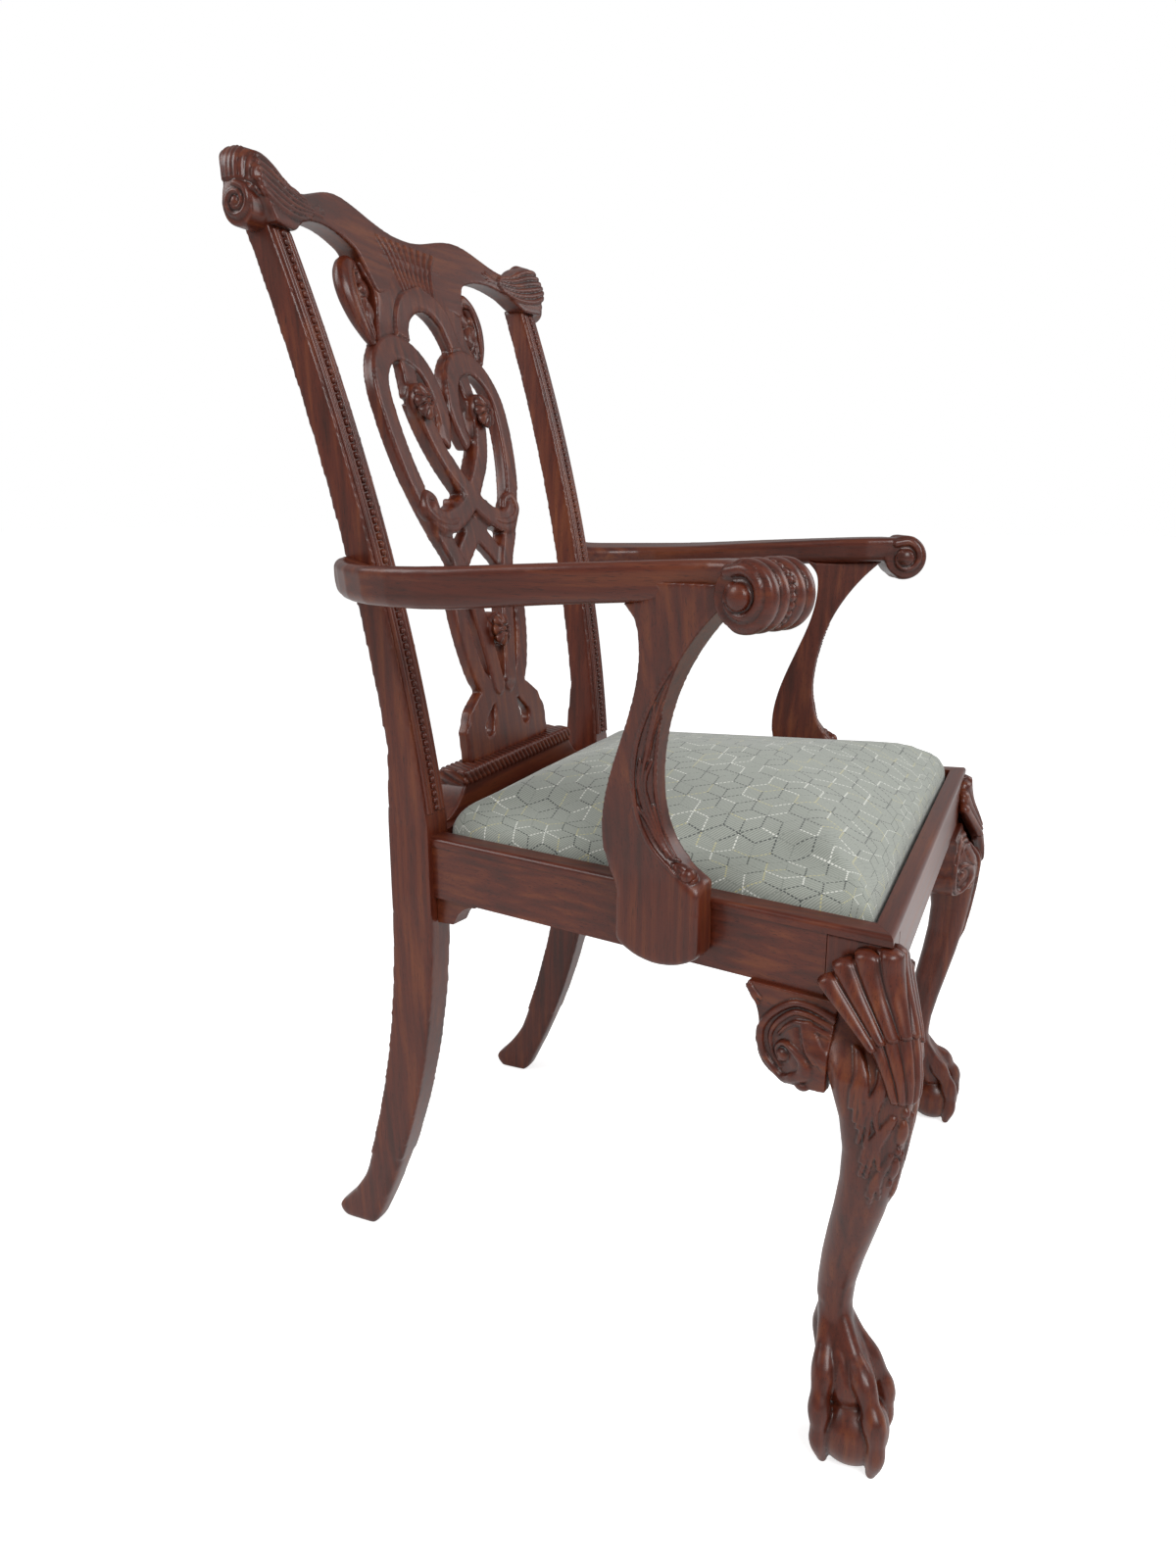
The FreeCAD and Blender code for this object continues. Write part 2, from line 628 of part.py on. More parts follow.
def block_span():
    """Bottom and height of the corner blocks."""
    high = LEDGE - size("corner_block_drop")
    return high - size("corner_block_height"), size("corner_block_height")


def front_block_screws():
    """Screws of the left front corner block: into the front rail, then into the side rail."""
    low, high = block_span()
    z = low + high / 2
    depth = size("rail_thickness") + size("corner_block_length") / 4
    into_front = Vector(STUMP_X - size("corner_block_length") * 0.55, FRONT + depth, z - high / 5)
    into_side = beside(size("stump_size") + size("corner_block_length") * 0.55, -depth, z + high / 5)
    return screw(into_front, BACKWARD * -1), screw(into_side, OUTWARD)


def rear_block_screws():
    """Screws of the left rear corner block: into the rear rail, then into the side rail."""
    low, high = block_span()
    z = low + high / 2
    ledge_y = BACK + size("seat_clearance") - size("rear_ledge_width")
    away = size("corner_block_length") / 4
    inner = side_x(ledge_y, size("rail_thickness"))
    into_rear = Vector(inner - size("corner_block_length") * 0.5, ledge_y - away, z - high / 5)
    rear_along = (ledge_y - CORNER.y) / ALONG.y
    into_side = beside(
        rear_along - size("corner_block_length") * 0.5,
        -size("rail_thickness") - away, z + high / 5,
    )
    return screw(into_rear, BACKWARD), screw(into_side, OUTWARD)


def add_front_blocks():
    """Front corner blocks, fitted round the legs' stumps."""
    front = "(seat_front_y + rail_thickness)"
    far = "(%s + corner_block_length)" % STUMP_Y_AT
    corners = [
        (STUMP_X_AT, front),
        ("(%s - corner_block_length)" % STUMP_X_AT, front),
        (side_at(far, "rail_thickness"), far),
        (side_at(STUMP_Y_AT, "rail_thickness"), STUMP_Y_AT),
        (STUMP_X_AT, STUMP_Y_AT),
    ]
    body = add_padded_body("corner_block_front_blank", [(corners, BLOCK_AT, "corner_block_height")])
    holes = [hole for _, hole in front_block_screws()]
    add_twin("corner_block_front", add_drilled("corner_block_front_left", body, holes))


def add_rear_blocks():
    """Rear corner blocks between the rear rail's ledge and the side rails."""
    rear = "(%s - rear_ledge_width)" % REAR_LIP_AT
    front = "(%s - corner_block_length)" % rear
    edge = side_at(rear, "rail_thickness")
    corners = [
        (edge, rear),
        ("(%s - corner_block_length)" % edge, rear),
        (side_at(front, "rail_thickness"), front),
    ]
    body = add_padded_body("corner_block_rear_blank", [(corners, BLOCK_AT, "corner_block_height")])
    holes = [hole for _, hole in rear_block_screws()]
    add_twin("corner_block_rear", add_drilled("corner_block_rear_left", body, holes))


# Rear posts
def post_side_outline():
    """Post seen from the side, from the heel to the crest rail."""
    front = RakedLine(0.0, 0.0)
    waist = BLOCK_HIGH + size("post_waist_rise")
    waist_share = (waist - BLOCK_HIGH) / (POST_TOP - BLOCK_HIGH)
    shrink = (size("post_top_depth") - size("post_waist_depth")) / (1 - waist_share)
    rear = RakedLine(size("post_waist_depth") - shrink * waist_share, shrink)
    toe = Vector(0, BACK + size("rear_leg_sweep"), 0)
    flat_end = toe + BACKWARD * size("rear_foot_depth")
    heel = flat_end + Vector(0, size("rear_heel_reach"), size("rear_heel_height"))
    middle_z = RAIL_LOW / 2
    front_middle = Vector(0, BACK + size("rear_leg_sweep_middle"), middle_z)
    rear_middle = front_middle + BACKWARD * size("rear_leg_depth")
    ankle_z = size("rear_ankle_height")
    front_ankle = arc(Vector(0, BACK, RAIL_LOW), front_middle, toe).Curve
    ankle_y = front_ankle.Center.y - math.sqrt(
        front_ankle.Radius ** 2 - (ankle_z - front_ankle.Center.z) ** 2
    )
    ankle = Vector(0, ankle_y + size("rear_ankle_depth"), ankle_z)
    rear_block = Vector(0, BACK + size("post_depth"), RAIL_LOW)
    lower = heel + Vector(0, -size("rear_heel_reach") * 0.3, -size("rear_heel_height") * 0.7)
    flare = (ankle + heel) * 0.5 + Vector(0, -size("rear_heel_reach") * 0.4, 0)
    edges = [
        arc(toe, front_middle, Vector(0, BACK, RAIL_LOW)),
        line(Vector(0, BACK, RAIL_LOW), Vector(0, BACK, BLOCK_HIGH)),
        front.edge(BLOCK_HIGH, POST_TOP),
        line(front.point(POST_TOP), rear.point(POST_TOP)),
        rear.edge(POST_TOP, waist),
        line(rear.point(waist), Vector(0, BACK + size("post_depth"), BLOCK_HIGH)),
        line(Vector(0, BACK + size("post_depth"), BLOCK_HIGH), rear_block),
        arc(rear_block, rear_middle, ankle),
        arc(ankle, flare, heel),
        arc(heel, lower, flat_end),
        line(flat_end, toe),
    ]
    return Part.Face(Part.Wire(edges))


def make_post():
    """Left rear post: the leg and the back upright, with the mortises of the rails."""
    top_in = POST_IN + size("post_spread")
    foot_in = POST_IN - size("rear_foot_tuck")
    elevation = [
        Vector(foot_in, 0, 0),
        Vector(POST_IN, 0, RAIL_LOW),
        Vector(POST_IN, 0, BLOCK_HIGH),
        Vector(top_in, 0, POST_TOP),
        Vector(top_in + size("post_top_width"), 0, POST_TOP),
        Vector(POST_OUT, 0, BLOCK_HIGH),
        Vector(POST_OUT, 0, RAIL_LOW),
        Vector(foot_in + size("rear_foot_width"), 0, 0),
    ]
    side = post_side_outline().extrude(ACROSS * FAR)
    post = side.common(prism(elevation, BACKWARD * FAR))
    holes = [side_rail_tenons(PLAY)[1], rear_rail_tenon(PLAY), arm_dowel(PLAY)]
    return post.fuse(post_tenon(0)).removeSplitter().cut(holes)


def post_tenon(play):
    """Tenon on the left post's top, larger by the play."""
    x = POST_IN + size("post_spread")
    y = post_front(POST_TOP)
    wide = size("post_top_width") / 3
    deep = size("post_top_depth") / 4
    return block(
        Vector(x + wide - play, y + deep - play, POST_TOP),
        Vector(x + 2 * wide + play, y + 3 * deep + play, POST_TOP + size("crest_tenon_height") + play),
    )


# Crest rail
def crest_outline():
    """Crest rail seen from the front: humps, valleys and ears over a hollow underside."""
    dip = Vector(0, 0, POST_TOP + size("crest_dip_rise"))
    hump = Vector(size("crest_hump_x"), 0, POST_TOP + size("crest_hump_rise"))
    valley = Vector(size("crest_valley_x"), 0, POST_TOP + size("crest_valley_rise"))
    roll = size("ear_tip_radius")
    ear = Vector(size("crest_span") / 2 - size("ear_top_inset"), 0, POST_TOP + size("ear_rise") - roll / 2)
    tip = Vector(size("crest_span") / 2 - roll / 2, 0, (ear.z + POST_TOP) / 2)
    low = Vector(POST_IN + size("post_spread") + size("post_top_width"), 0, POST_TOP)
    inner_low = Vector(POST_IN + size("post_spread"), 0, POST_TOP)
    neck = Vector(size("crest_neck_width") / 2, 0, SPLAT_TOP)
    neck_out = neck + Vector(size("crest_arch_rise") * 2, 0, size("crest_arch_rise"))
    top = Part.BSplineCurve()
    top.interpolate([dip, hump, valley, ear], Tangents=[ACROSS] * 4, TangentFlags=[True] * 4)
    under = Part.BSplineCurve()
    under.interpolate([inner_low, neck_out, neck])
    edges = [
        top.toShape(),
        arc(ear, (ear + tip) * 0.5 + Vector(roll / 2, 0, 0), tip),
        line(tip, low),
        line(low, inner_low),
        under.toShape(),
    ]
    edges += [mirrored(edge) for edge in edges]
    edges.append(line(neck, Vector(-neck.x, 0, neck.z)))
    return Part.Face(Part.Wire(Part.sortEdges(edges)[0]))


def crest_slab():
    """Leaning slab, hollow in plan, that the crest rail is cut from."""
    half = size("crest_span")
    thick = size("crest_thickness")
    bow = size("crest_sagitta") * (half / POST_IN) ** 2
    low = SPLAT_TOP - FAR / 20
    lean = math.tan(math.radians(size("crest_lean")))
    ends_y = post_front(POST_TOP) - lean * (POST_TOP - low) + size("crest_sagitta") - bow
    ends = [Vector(-half, ends_y, low), Vector(half, ends_y, low)]
    middle = Vector(0, ends_y + bow, low)
    shift = BACKWARD * thick
    edges = [
        arc(ends[0], middle, ends[1]),
        line(ends[1], ends[1] + shift),
        arc(ends[1] + shift, middle + shift, ends[0] + shift),
        line(ends[0] + shift, ends[0]),
    ]
    return Part.Face(Part.Wire(edges)).extrude(Vector(0, lean, 1) * (FAR / 8))


def ear_scroll():
    """Scroll that rolls back at the end of the left ear."""
    radius = size("ear_volute_radius")
    tip = size("ear_tip_radius")
    x = size("crest_span") / 2 - size("ear_width")
    y = post_front(POST_TOP) + size("crest_thickness") / 2
    low = Vector(x, y, POST_TOP + radius)
    high = Vector(x, y + tip, POST_TOP + size("ear_rise") - tip)
    left = BACKWARD * -1
    edges = [
        arc(low + left * radius, low - UP * radius, low - left * radius),
        line(low - left * radius, high - left * tip),
        arc(high - left * tip, high + UP * tip, high + left * tip),
        line(high + left * tip, low + left * radius),
    ]
    return Part.Face(Part.Wire(edges)).extrude(ACROSS * size("ear_width"))


def make_crest():
    """Crest rail with its ears and the mortises of the posts and the splat."""
    bar = crest_outline().extrude(BACKWARD * FAR).common(crest_slab())
    ear = ear_scroll()
    pin = post_tenon(PLAY)
    return bar.fuse([ear, mirrored(ear)]).cut([pin, mirrored(pin), splat_top_tenon(PLAY)])


def splat_front(z):
    """Depth of the splat's front at a height."""
    return post_front(z) + size("splat_setback")


def splat_top_tenon(play):
    """Tenon on the splat's top, larger by the play."""
    z = SPLAT_TOP
    half = size("crest_neck_width") / 3
    y = splat_front(z) + size("splat_thickness") / 4
    return block(
        Vector(-half - play, y - play, z),
        Vector(half + play, y + size("splat_thickness") / 2 + play, z + size("crest_tenon_height") + play),
    )


# Splat
# Share of the slab's thickness under the raised face of the loops and of the bow
LOOP_SHARE = 0.5
BOW_SHARE = 0.7
# Half outline of the foot, in shares of its half width and its height
BASE_STEPS = ((0, 0), (1, 0), (1, 0.65), (0.92, 0.85), (0.86, 1.06), (0.6, 1.36), (0, 1.4))
# Leaf beside the neck, in shares of the neck's half width and of the straps' width below it
LEAF_CORNERS = ((0.98, 1.1), (1.54, 1.3), (1.4, 3.2), (1.15, 3.1))
LEAF_SCROLL = (1.27, 1.1)
LEAF_SCROLL_SHARE = 0.62
# The arch springs this many strap widths above the rosettes
ARCH_SPRING = 2.2


def flat(x, z):
    """Point of the splat's elevation."""
    return Vector(x, 0, z)


def strap(start, heading, stops, trim):
    """Flat strap, its edges trimmed, whose middle line is a chain of tangent arcs through some points."""
    half = size("strap_width") / 2 - trim
    sides = ([], [])
    point = start
    course = Vector(heading).normalize()
    for stop in stops:
        chord = (stop - point).normalize()
        leaving = chord * (2 * course.dot(chord)) - course
        normals = [flat(-way.z, way.x) for way in (course, chord, leaving)]
        swing = math.atan2(course.dot(normals[1]), course.dot(chord))
        bulge = (stop - point).Length / 2 * math.tan(swing / 2)
        middle = (point + stop) * 0.5 + normals[1] * bulge
        for edges, side in zip(sides, (half, -half)):
            ends = [place + normal * side for place, normal in zip((point, middle, stop), normals)]
            edges.append(arc(*ends))
        point = stop
        course = leaving
    first, last = sides
    caps = [
        line(first[0].Vertexes[0].Point, last[0].Vertexes[0].Point),
        line(first[-1].Vertexes[1].Point, last[-1].Vertexes[1].Point),
    ]
    return Part.Face(Part.Wire(Part.sortEdges(first + last + caps)[0]))


def loop_places():
    """Middle and radius of the left loop's middle line."""
    half = size("strap_width") / 2
    outer = size("loop_width") / 2 - half
    inner = size("loop_gap") / 2 + half
    return flat((outer + inner) / 2, ROSETTE), (outer - inner) / 2


def loop_straps(trim):
    """Left loop and the strap that runs from it to the lower rosette."""
    centre, radius = loop_places()
    low = OVAL_LOW + size("strap_width")
    near = size("strap_width") / 2
    bow = BOW
    turn = LOW_ROSETTE
    inner = centre - flat(radius, 0)
    tail = strap(inner, flat(0, -1), [inner + flat(near, -1.6 * size("strap_width"))], trim)
    outer = centre + flat(radius, 0)
    main = strap(inner, flat(0, 1), [
        centre + flat(0, radius),
        outer,
        flat(outer.x * 0.86, bow + near * 2),
        flat(outer.x * 0.57, (bow * 3 + turn) / 4),
        flat(near * 3.1, (bow + turn * 2) / 3),
        flat(near * 2.1, turn),
        flat(near, low),
    ], trim)
    return [tail, main]


def arch_strap():
    """Left half of the arch over the loops, down to the rosette."""
    half = size("rosette_gap") / 2
    width = size("strap_width")
    spring = ROSETTE + ARCH_SPRING * width
    radius = half - width / 4
    return strap(flat(0, spring + radius), flat(1, 0), [
        flat(radius, spring),
        flat(half, ROSETTE),
    ], 0.0)


def bow_strap(trim):
    """Strap from the left rosette through the middle to the right end of the bow."""
    half = size("rosette_gap") / 2
    bow = BOW
    rise = ROSETTE - bow
    end = size("bow_width") / 2 - size("strap_width") / 2
    return strap(flat(half, ROSETTE), flat(-0.2, -0.98), [
        flat(half * 0.66, bow + rise * 0.53),
        flat(0, bow + rise * 0.13),
        flat(-end * 0.57, bow - rise * 0.11),
        flat(-end, bow + rise * 0.02),
    ], trim)


def oval_strap():
    """Strap from under the bow's right end, through the middle, round the left of the oval."""
    half = size("strap_width") / 2
    side = size("oval_width") / 2 - half
    bow = BOW
    turn = LOW_ROSETTE
    low = OVAL_LOW + half
    drop = bow - turn
    return strap(flat(-side * 0.63, bow), flat(0.93, -0.37), [
        flat(0, bow - drop * 0.17),
        flat(side * 0.76, bow - drop * 0.48),
        flat(side, turn + drop * 0.2),
        flat(side * 0.79, turn - (turn - low) * 0.53),
        flat(0, low),
    ], 0.0)


def teardrop():
    """Left piercing of the splat's foot."""
    radius = size("strap_width") * 0.37
    foot = SPLAT_FOOT
    rise = OVAL_LOW - foot
    low = flat(size("splat_base_width") * 0.23, foot + rise * 0.6)
    tip = flat(size("splat_base_width") * 0.13, foot + rise * 1.12)
    axis = (tip - low).normalize()
    side = flat(-axis.z, axis.x)
    ends = [low + side * radius, low - side * radius]
    edges = [arc(ends[0], low - axis * radius, ends[1]), line(ends[1], tip), line(tip, ends[0])]
    return Part.Face(Part.Wire(edges))


def splat_base():
    """Left half of the splat's stepped foot."""
    foot = SPLAT_FOOT
    half = size("splat_base_width") / 2
    low = OVAL_LOW
    rise = low - foot
    points = [
        flat(half * across, foot + rise * up) for across, up in BASE_STEPS
    ]
    return Part.Face(Part.makePolygon(points + points[:1])).cut(teardrop())


def splat_neck():
    """Left half of the panel between the crest rail and the loops, with its leaf scroll."""
    centre, radius = loop_places()
    high = SPLAT_TOP
    half = size("crest_neck_width") / 2
    width = size("strap_width")
    low = centre.z + radius
    spring = ROSETTE + ARCH_SPRING * width
    inner = size("rosette_gap") / 2 - width / 4
    points = [
        flat(0, high), flat(half, high), flat(half * 0.93, high - width), flat(half * 1.02, high - 2 * width),
        flat(half * 1.2, low - width / 3), flat(inner, low - width / 3), flat(inner, spring),
    ]
    edges = [line(a, b) for a, b in zip(points, points[1:])]
    diagonal = inner * math.sqrt(0.5)
    edges.append(arc(points[-1], flat(diagonal, spring + diagonal), flat(0, spring + inner)))
    edges.append(line(flat(0, spring + inner), points[0]))
    panel = Part.Face(Part.Wire(edges))
    eye = flat(half * LEAF_SCROLL[0], high - width * LEAF_SCROLL[1])
    scroll = Part.Face(circle_wire(width * LEAF_SCROLL_SHARE, eye, BACKWARD))
    leaf = [flat(half * across, high - width * down) for across, down in LEAF_CORNERS]
    return panel.fuse([scroll, Part.Face(Part.makePolygon(leaf + leaf[:1]))])


def splat_slab(step, share):
    """Raked slab of the splat, its front brought forward by a step, a share of its thickness deep."""
    low = SPLAT_FOOT
    high = SPLAT_TOP
    front = RakedLine(size("splat_setback") - step, 0.0)
    rear = RakedLine(size("splat_setback") + size("splat_thickness") * share, 0.0)
    edges = [
        front.edge(low, high), line(front.point(high), rear.point(high)),
        rear.edge(high, low), line(rear.point(low), front.point(low)),
    ]
    slab = Part.Face(Part.Wire(edges)).extrude(ACROSS * FAR)
    slab.translate(ACROSS * (-FAR / 2))
    return slab


def carve(outlines, step, share):
    """Cut left outlines and their mirror images out of the splat's slab."""
    faces = [face for outline in outlines for face in outline.Faces]
    bars = [face.extrude(BACKWARD * FAR) for face in faces + [mirrored(face) for face in faces]]
    return bars[0].fuse(bars[1:], FUZZ).common(splat_slab(step, share))


def rosette(x, z, step):
    """Domed rosette on the splat's front."""
    radius = size("rosette_radius")
    rise = size("rosette_rise")
    top = splat_front(z) - step - rise
    rim = top + rise
    root = rim + size("splat_thickness") / 2
    shoulder = Vector(x + radius * math.sqrt(0.5), top + rise * (1 - math.sqrt(0.5)), z)
    spots = [Vector(x, top, z), Vector(x + radius, rim, z), Vector(x + radius, root, z), Vector(x, root, z)]
    edges = [arc(spots[0], shoulder, spots[1])]
    edges += [line(a, b) for a, b in zip(spots[1:], spots[2:] + spots[:1])]
    return Part.Face(Part.Wire(edges)).revolve(spots[0], BACKWARD, 360)


def splat_foot_tenon(play):
    """Foot of the splat in the shoe, larger by the play."""
    z = SPLAT_FOOT
    half = size("splat_base_width") / 2 - size("strap_width") / 2
    y = splat_front(z) + size("splat_thickness") / 6
    return block(
        Vector(-half - play, y - play, z - size("splat_tenon_height") - play),
        Vector(half + play, y + size("splat_thickness") * 2 / 3 + play, z),
    )


def make_splat():
    """Splat of interlaced straps, the bow raised above the loops and the loops above the rest."""
    step = size("strap_step")
    trim = size("strap_trim")
    low_disc = Part.Face(circle_wire(size("rosette_radius"), flat(0, LOW_ROSETTE), BACKWARD))
    flats = [arch_strap(), oval_strap(), bow_strap(0.0), splat_base(), splat_neck(), low_disc]
    ground = carve(flats + loop_straps(0.0), 0.0, 1.0)
    loops = carve(loop_straps(trim), step, LOOP_SHARE)
    bow = carve([bow_strap(trim)], 2 * step, BOW_SHARE)
    half_gap = size("rosette_gap") / 2
    studs = [rosette(x, ROSETTE, 2 * step) for x in (half_gap, -half_gap)]
    studs.append(rosette(0, LOW_ROSETTE, 0.0))
    return ground.fuse([loops, bow, splat_top_tenon(0), splat_foot_tenon(0)] + studs, FUZZ)


def make_shoe():
    """Shoe on the rear rail, flared at its foot, that holds the splat."""
    high = SPLAT_FOOT
    foot = size("shoe_foot_width") / 2
    top = size("shoe_width") / 2
    bead = high - size("shoe_bead_height")
    y = BACK + size("shoe_front")
    points = [Vector(foot, y, TOP), Vector(top, y, bead), Vector(top, y, high)]
    hollow = (points[0] + points[1]) * 0.5 + Vector(-1, 0, -1) * (size("shoe_bead_height") / 3)
    edges = [arc(points[0], hollow, points[1]), line(points[1], points[2])]
    left = [Vector(-point.x, point.y, point.z) for point in (points[0], hollow, points[1], points[2])]
    edges.append(line(points[2], left[3]))
    edges.append(line(left[3], left[2]))
    edges.append(arc(left[2], left[1], left[0]))
    edges.append(line(left[0], points[0]))
    shoe = Part.Face(Part.Wire(edges)).extrude(BACKWARD * size("shoe_depth"))
    return shoe.cut(splat_foot_tenon(PLAY))


# Front legs
LEG_SECTIONS = 13
CLAW_SECTIONS = 6
# Courses of the claws below their roots, in shares of the ball's radius: outward, aside and up
FRONT_CLAW = ((-0.14, 0, 2.34), (0.7, 0, 1.68), (0.98, 0, 1.0), (0.86, 0, 0.34))
SIDE_CLAW = ((-0.71, 0.6, 2.2), (-0.14, 0.93, 1.44), (0, 0.98, 0.85), (0.07, 0.84, 0.34))
REAR_CLAW = ((-1.45, 0, 2.14), (-1.28, 0, 1.4), (-1.0, 0, 0.7), (-0.84, 0, 0.34))


def leg_section(z, outside, width, radius):
    """Section of the left front leg, its outer faces a distance outside the stump's faces."""
    x = CORNER.x + outside - width / 2
    y = FRONT - outside + width / 2
    return rounded_rectangle(width, width, radius, Placement(Vector(x, y, z), Rotation()))


def ball_place():
    """Middle of the ball under the left front leg."""
    tuck = size("ball_tuck")
    return Vector(CORNER.x - tuck, FRONT + tuck, size("ball_radius") - size("ball_sink"))


def claw(root, shares):
    """Claw over the ball, its course given outward along the leg's diagonal, aside and up."""
    ball = size("ball_radius")
    outward = Vector(1, -1, 0).normalize()
    aside = Vector(1, 1, 0).normalize()
    foot = ball_place()
    foot.z = 0
    course = [root] + [(out * ball, side * ball, up * ball) for out, side, up in shares]
    spots = [foot + outward * out + aside * side + UP * up for out, side, up in course]
    root_radius, knuckle, tip = (size("claw_%s_radius" % part) for part in ("root", "knuckle", "tip"))
    radii = [root_radius, (root_radius + knuckle) / 2, knuckle, (knuckle + tip) / 2, tip]
    places = list(range(len(spots)))
    line_of_claw = smooth_course(spots, places)
    girth = smooth_course([Vector(radius, 0, 0) for radius in radii], places)
    wires = []
    for place in spaced(places[0], places[-1], CLAW_SECTIONS):
        heading = line_of_claw.getDN(place, 1)
        wires.append(circle_wire(girth.value(place).x, line_of_claw.value(place), heading))
    return Part.makeLoft(wires, True, True)


def claws():
    """Four claws of the left foot: before, behind and on both sides of the ball."""
    ankle = -(size("ankle_tuck") + size("ankle_width") / 2 - size("ball_tuck")) * math.sqrt(2)
    spread = size("claw_root_radius")
    root = size("claw_root_height")
    far_side = [(out, -side, up) for out, side, up in SIDE_CLAW]
    return [
        claw((ankle + spread, 0, root), FRONT_CLAW),
        claw((ankle, spread, root), SIDE_CLAW),
        claw((ankle, -spread, root), far_side),
        claw((ankle - spread, 0, root), REAR_CLAW),
    ]


def leg_form():
    """Reach, width and corners of the left front leg at every height from the ball up."""
    tuck = -size("ankle_tuck")
    top_reach = size("knee_top_reach")
    slim = size("leg_round")
    rows = [
        (2 * size("ball_radius"), size("foot_neck_reach"), size("foot_neck_width"), slim),
        (size("ankle_height"), tuck, size("ankle_width"), slim),
        ((SHIN + size("ankle_height")) / 2, size("low_shin_reach"), size("low_shin_width"), slim),
        (SHIN, size("shin_reach"), size("shin_width"), slim),
        ((KNEE + SHIN) / 2, size("calf_reach"), size("calf_width"), slim),
        (KNEE, size("knee_reach"), size("knee_width"), size("knee_round")),
        (RAIL_LOW, top_reach, size("stump_size") + top_reach, size("knee_top_round")),
    ]
    heights = [height for height, _, _, _ in rows]
    return smooth_course([Vector(*values) for _, *values in rows], heights)


def make_leg():
    """Left cabriole leg with its stump in the corner of the rails and its ball-and-claw foot."""
    form = leg_form()
    heights = spaced(2 * size("ball_radius"), RAIL_LOW, LEG_SECTIONS)
    leg = Part.makeLoft([leg_section(z, *form.value(z)) for z in heights], True, True)
    ball = Part.makeSphere(size("ball_radius"), ball_place())
    plan = [
        Vector(STUMP_X, FRONT, RAIL_LOW), Vector(CORNER.x, FRONT, RAIL_LOW),
        Vector(side_x(STUMP_Y, 0), STUMP_Y, RAIL_LOW), Vector(STUMP_X, STUMP_Y, RAIL_LOW),
    ]
    top = prism(plan, UP * (LIP_LOW - RAIL_LOW))
    inner = lip_corner()
    top = top.cut(block(Vector(-FAR, inner.y, LEDGE), Vector(inner.x, FAR, FAR)))
    whole = leg.fuse([ball, top] + claws())
    floor = block(Vector(-FAR, -FAR, -FAR), Vector(FAR, FAR, 0))
    holes = [front_rail_tenon(PLAY), side_rail_tenons(PLAY)[0]]
    return whole.cut([floor] + holes)


# Brackets
# Underside of the rear bracket, in shares of its length from the post and of its height
REAR_BRACKET_STEPS = ((1, 0.15), (0.5, 0.6), (0.4, 0.9))


def bracket_outline(place):
    """Scrolled knee bracket: X runs away from the leg, Y runs up from the rail."""
    long = size("bracket_length")
    high = size("bracket_height")
    radius = size("bracket_scroll_radius")
    lip = radius / 5
    scroll = Vector(long - radius * 1.4, radius - high, 0)
    side = scroll + Vector(radius, 0, 0)
    tip = Vector(long, -lip, 0)
    corner = Vector(0, 0, 0)
    low = scroll - Vector(0, radius, 0)
    edges = [
        line(corner, Vector(long, 0, 0)), line(Vector(long, 0, 0), tip),
        arc(tip, (tip + side) * 0.5 - Vector(lip, 0, 0), side),
        arc(side, scroll + Vector(1, -1, 0) * (radius * math.sqrt(0.5)), low),
        line(low, Vector(0, low.y + lip * 2, 0)), line(Vector(0, low.y + lip * 2, 0), corner),
    ]
    face = Part.Face(Part.Wire(edges))
    face.Placement = place
    return face


def make_front_bracket():
    """Left knee bracket under the front rail."""
    start = Vector(STUMP_X, FRONT - size("bracket_proud"), RAIL_LOW)
    place = Placement(start, Rotation(ACROSS * -1, UP, BACKWARD, "XYZ"))
    return bracket_outline(place).extrude(BACKWARD * size("bracket_thickness"))


def make_side_bracket():
    """Left knee bracket under the side rail."""
    stand = size("bracket_proud")
    along = (STUMP_Y - CORNER.y) / ALONG.y
    place = Placement(beside(along, stand, RAIL_LOW), Rotation(ALONG, UP, OUTWARD, "XYZ"))
    piece = bracket_outline(place).extrude(OUTWARD * -size("bracket_thickness"))
    return piece.common(block(Vector(0, STUMP_Y, 0), Vector(FAR, FAR, FAR)))


def make_rear_bracket():
    """Left bracket under the side rail, against the post."""
    long = size("rear_bracket_length")
    high = size("rear_bracket_height")
    end = (BACK - CORNER.y) / ALONG.y
    inset = -(size("rail_thickness") - size("rear_bracket_thickness")) / 2
    past = size("rear_bracket_thickness") / long
    outline = [(-past, 0), (1, 0)] + list(REAR_BRACKET_STEPS) + [(-past, 1)]
    spots = [beside(end - long * out, inset, RAIL_LOW - high * down) for out, down in outline]
    hollow = (spots[2] + spots[3]) * 0.5 + UP * (high / 8)
    edges = [line(a, b) for a, b in zip(spots, spots[1:] + spots[:1])]
    edges[2] = arc(spots[2], hollow, spots[3])
    piece = Part.Face(Part.Wire(edges)).extrude(OUTWARD * -size("rear_bracket_thickness"))
    return piece.common(block(Vector(0, -FAR, 0), Vector(FAR, BACK, FAR)))


# Arms
ARM_SECTIONS = 19


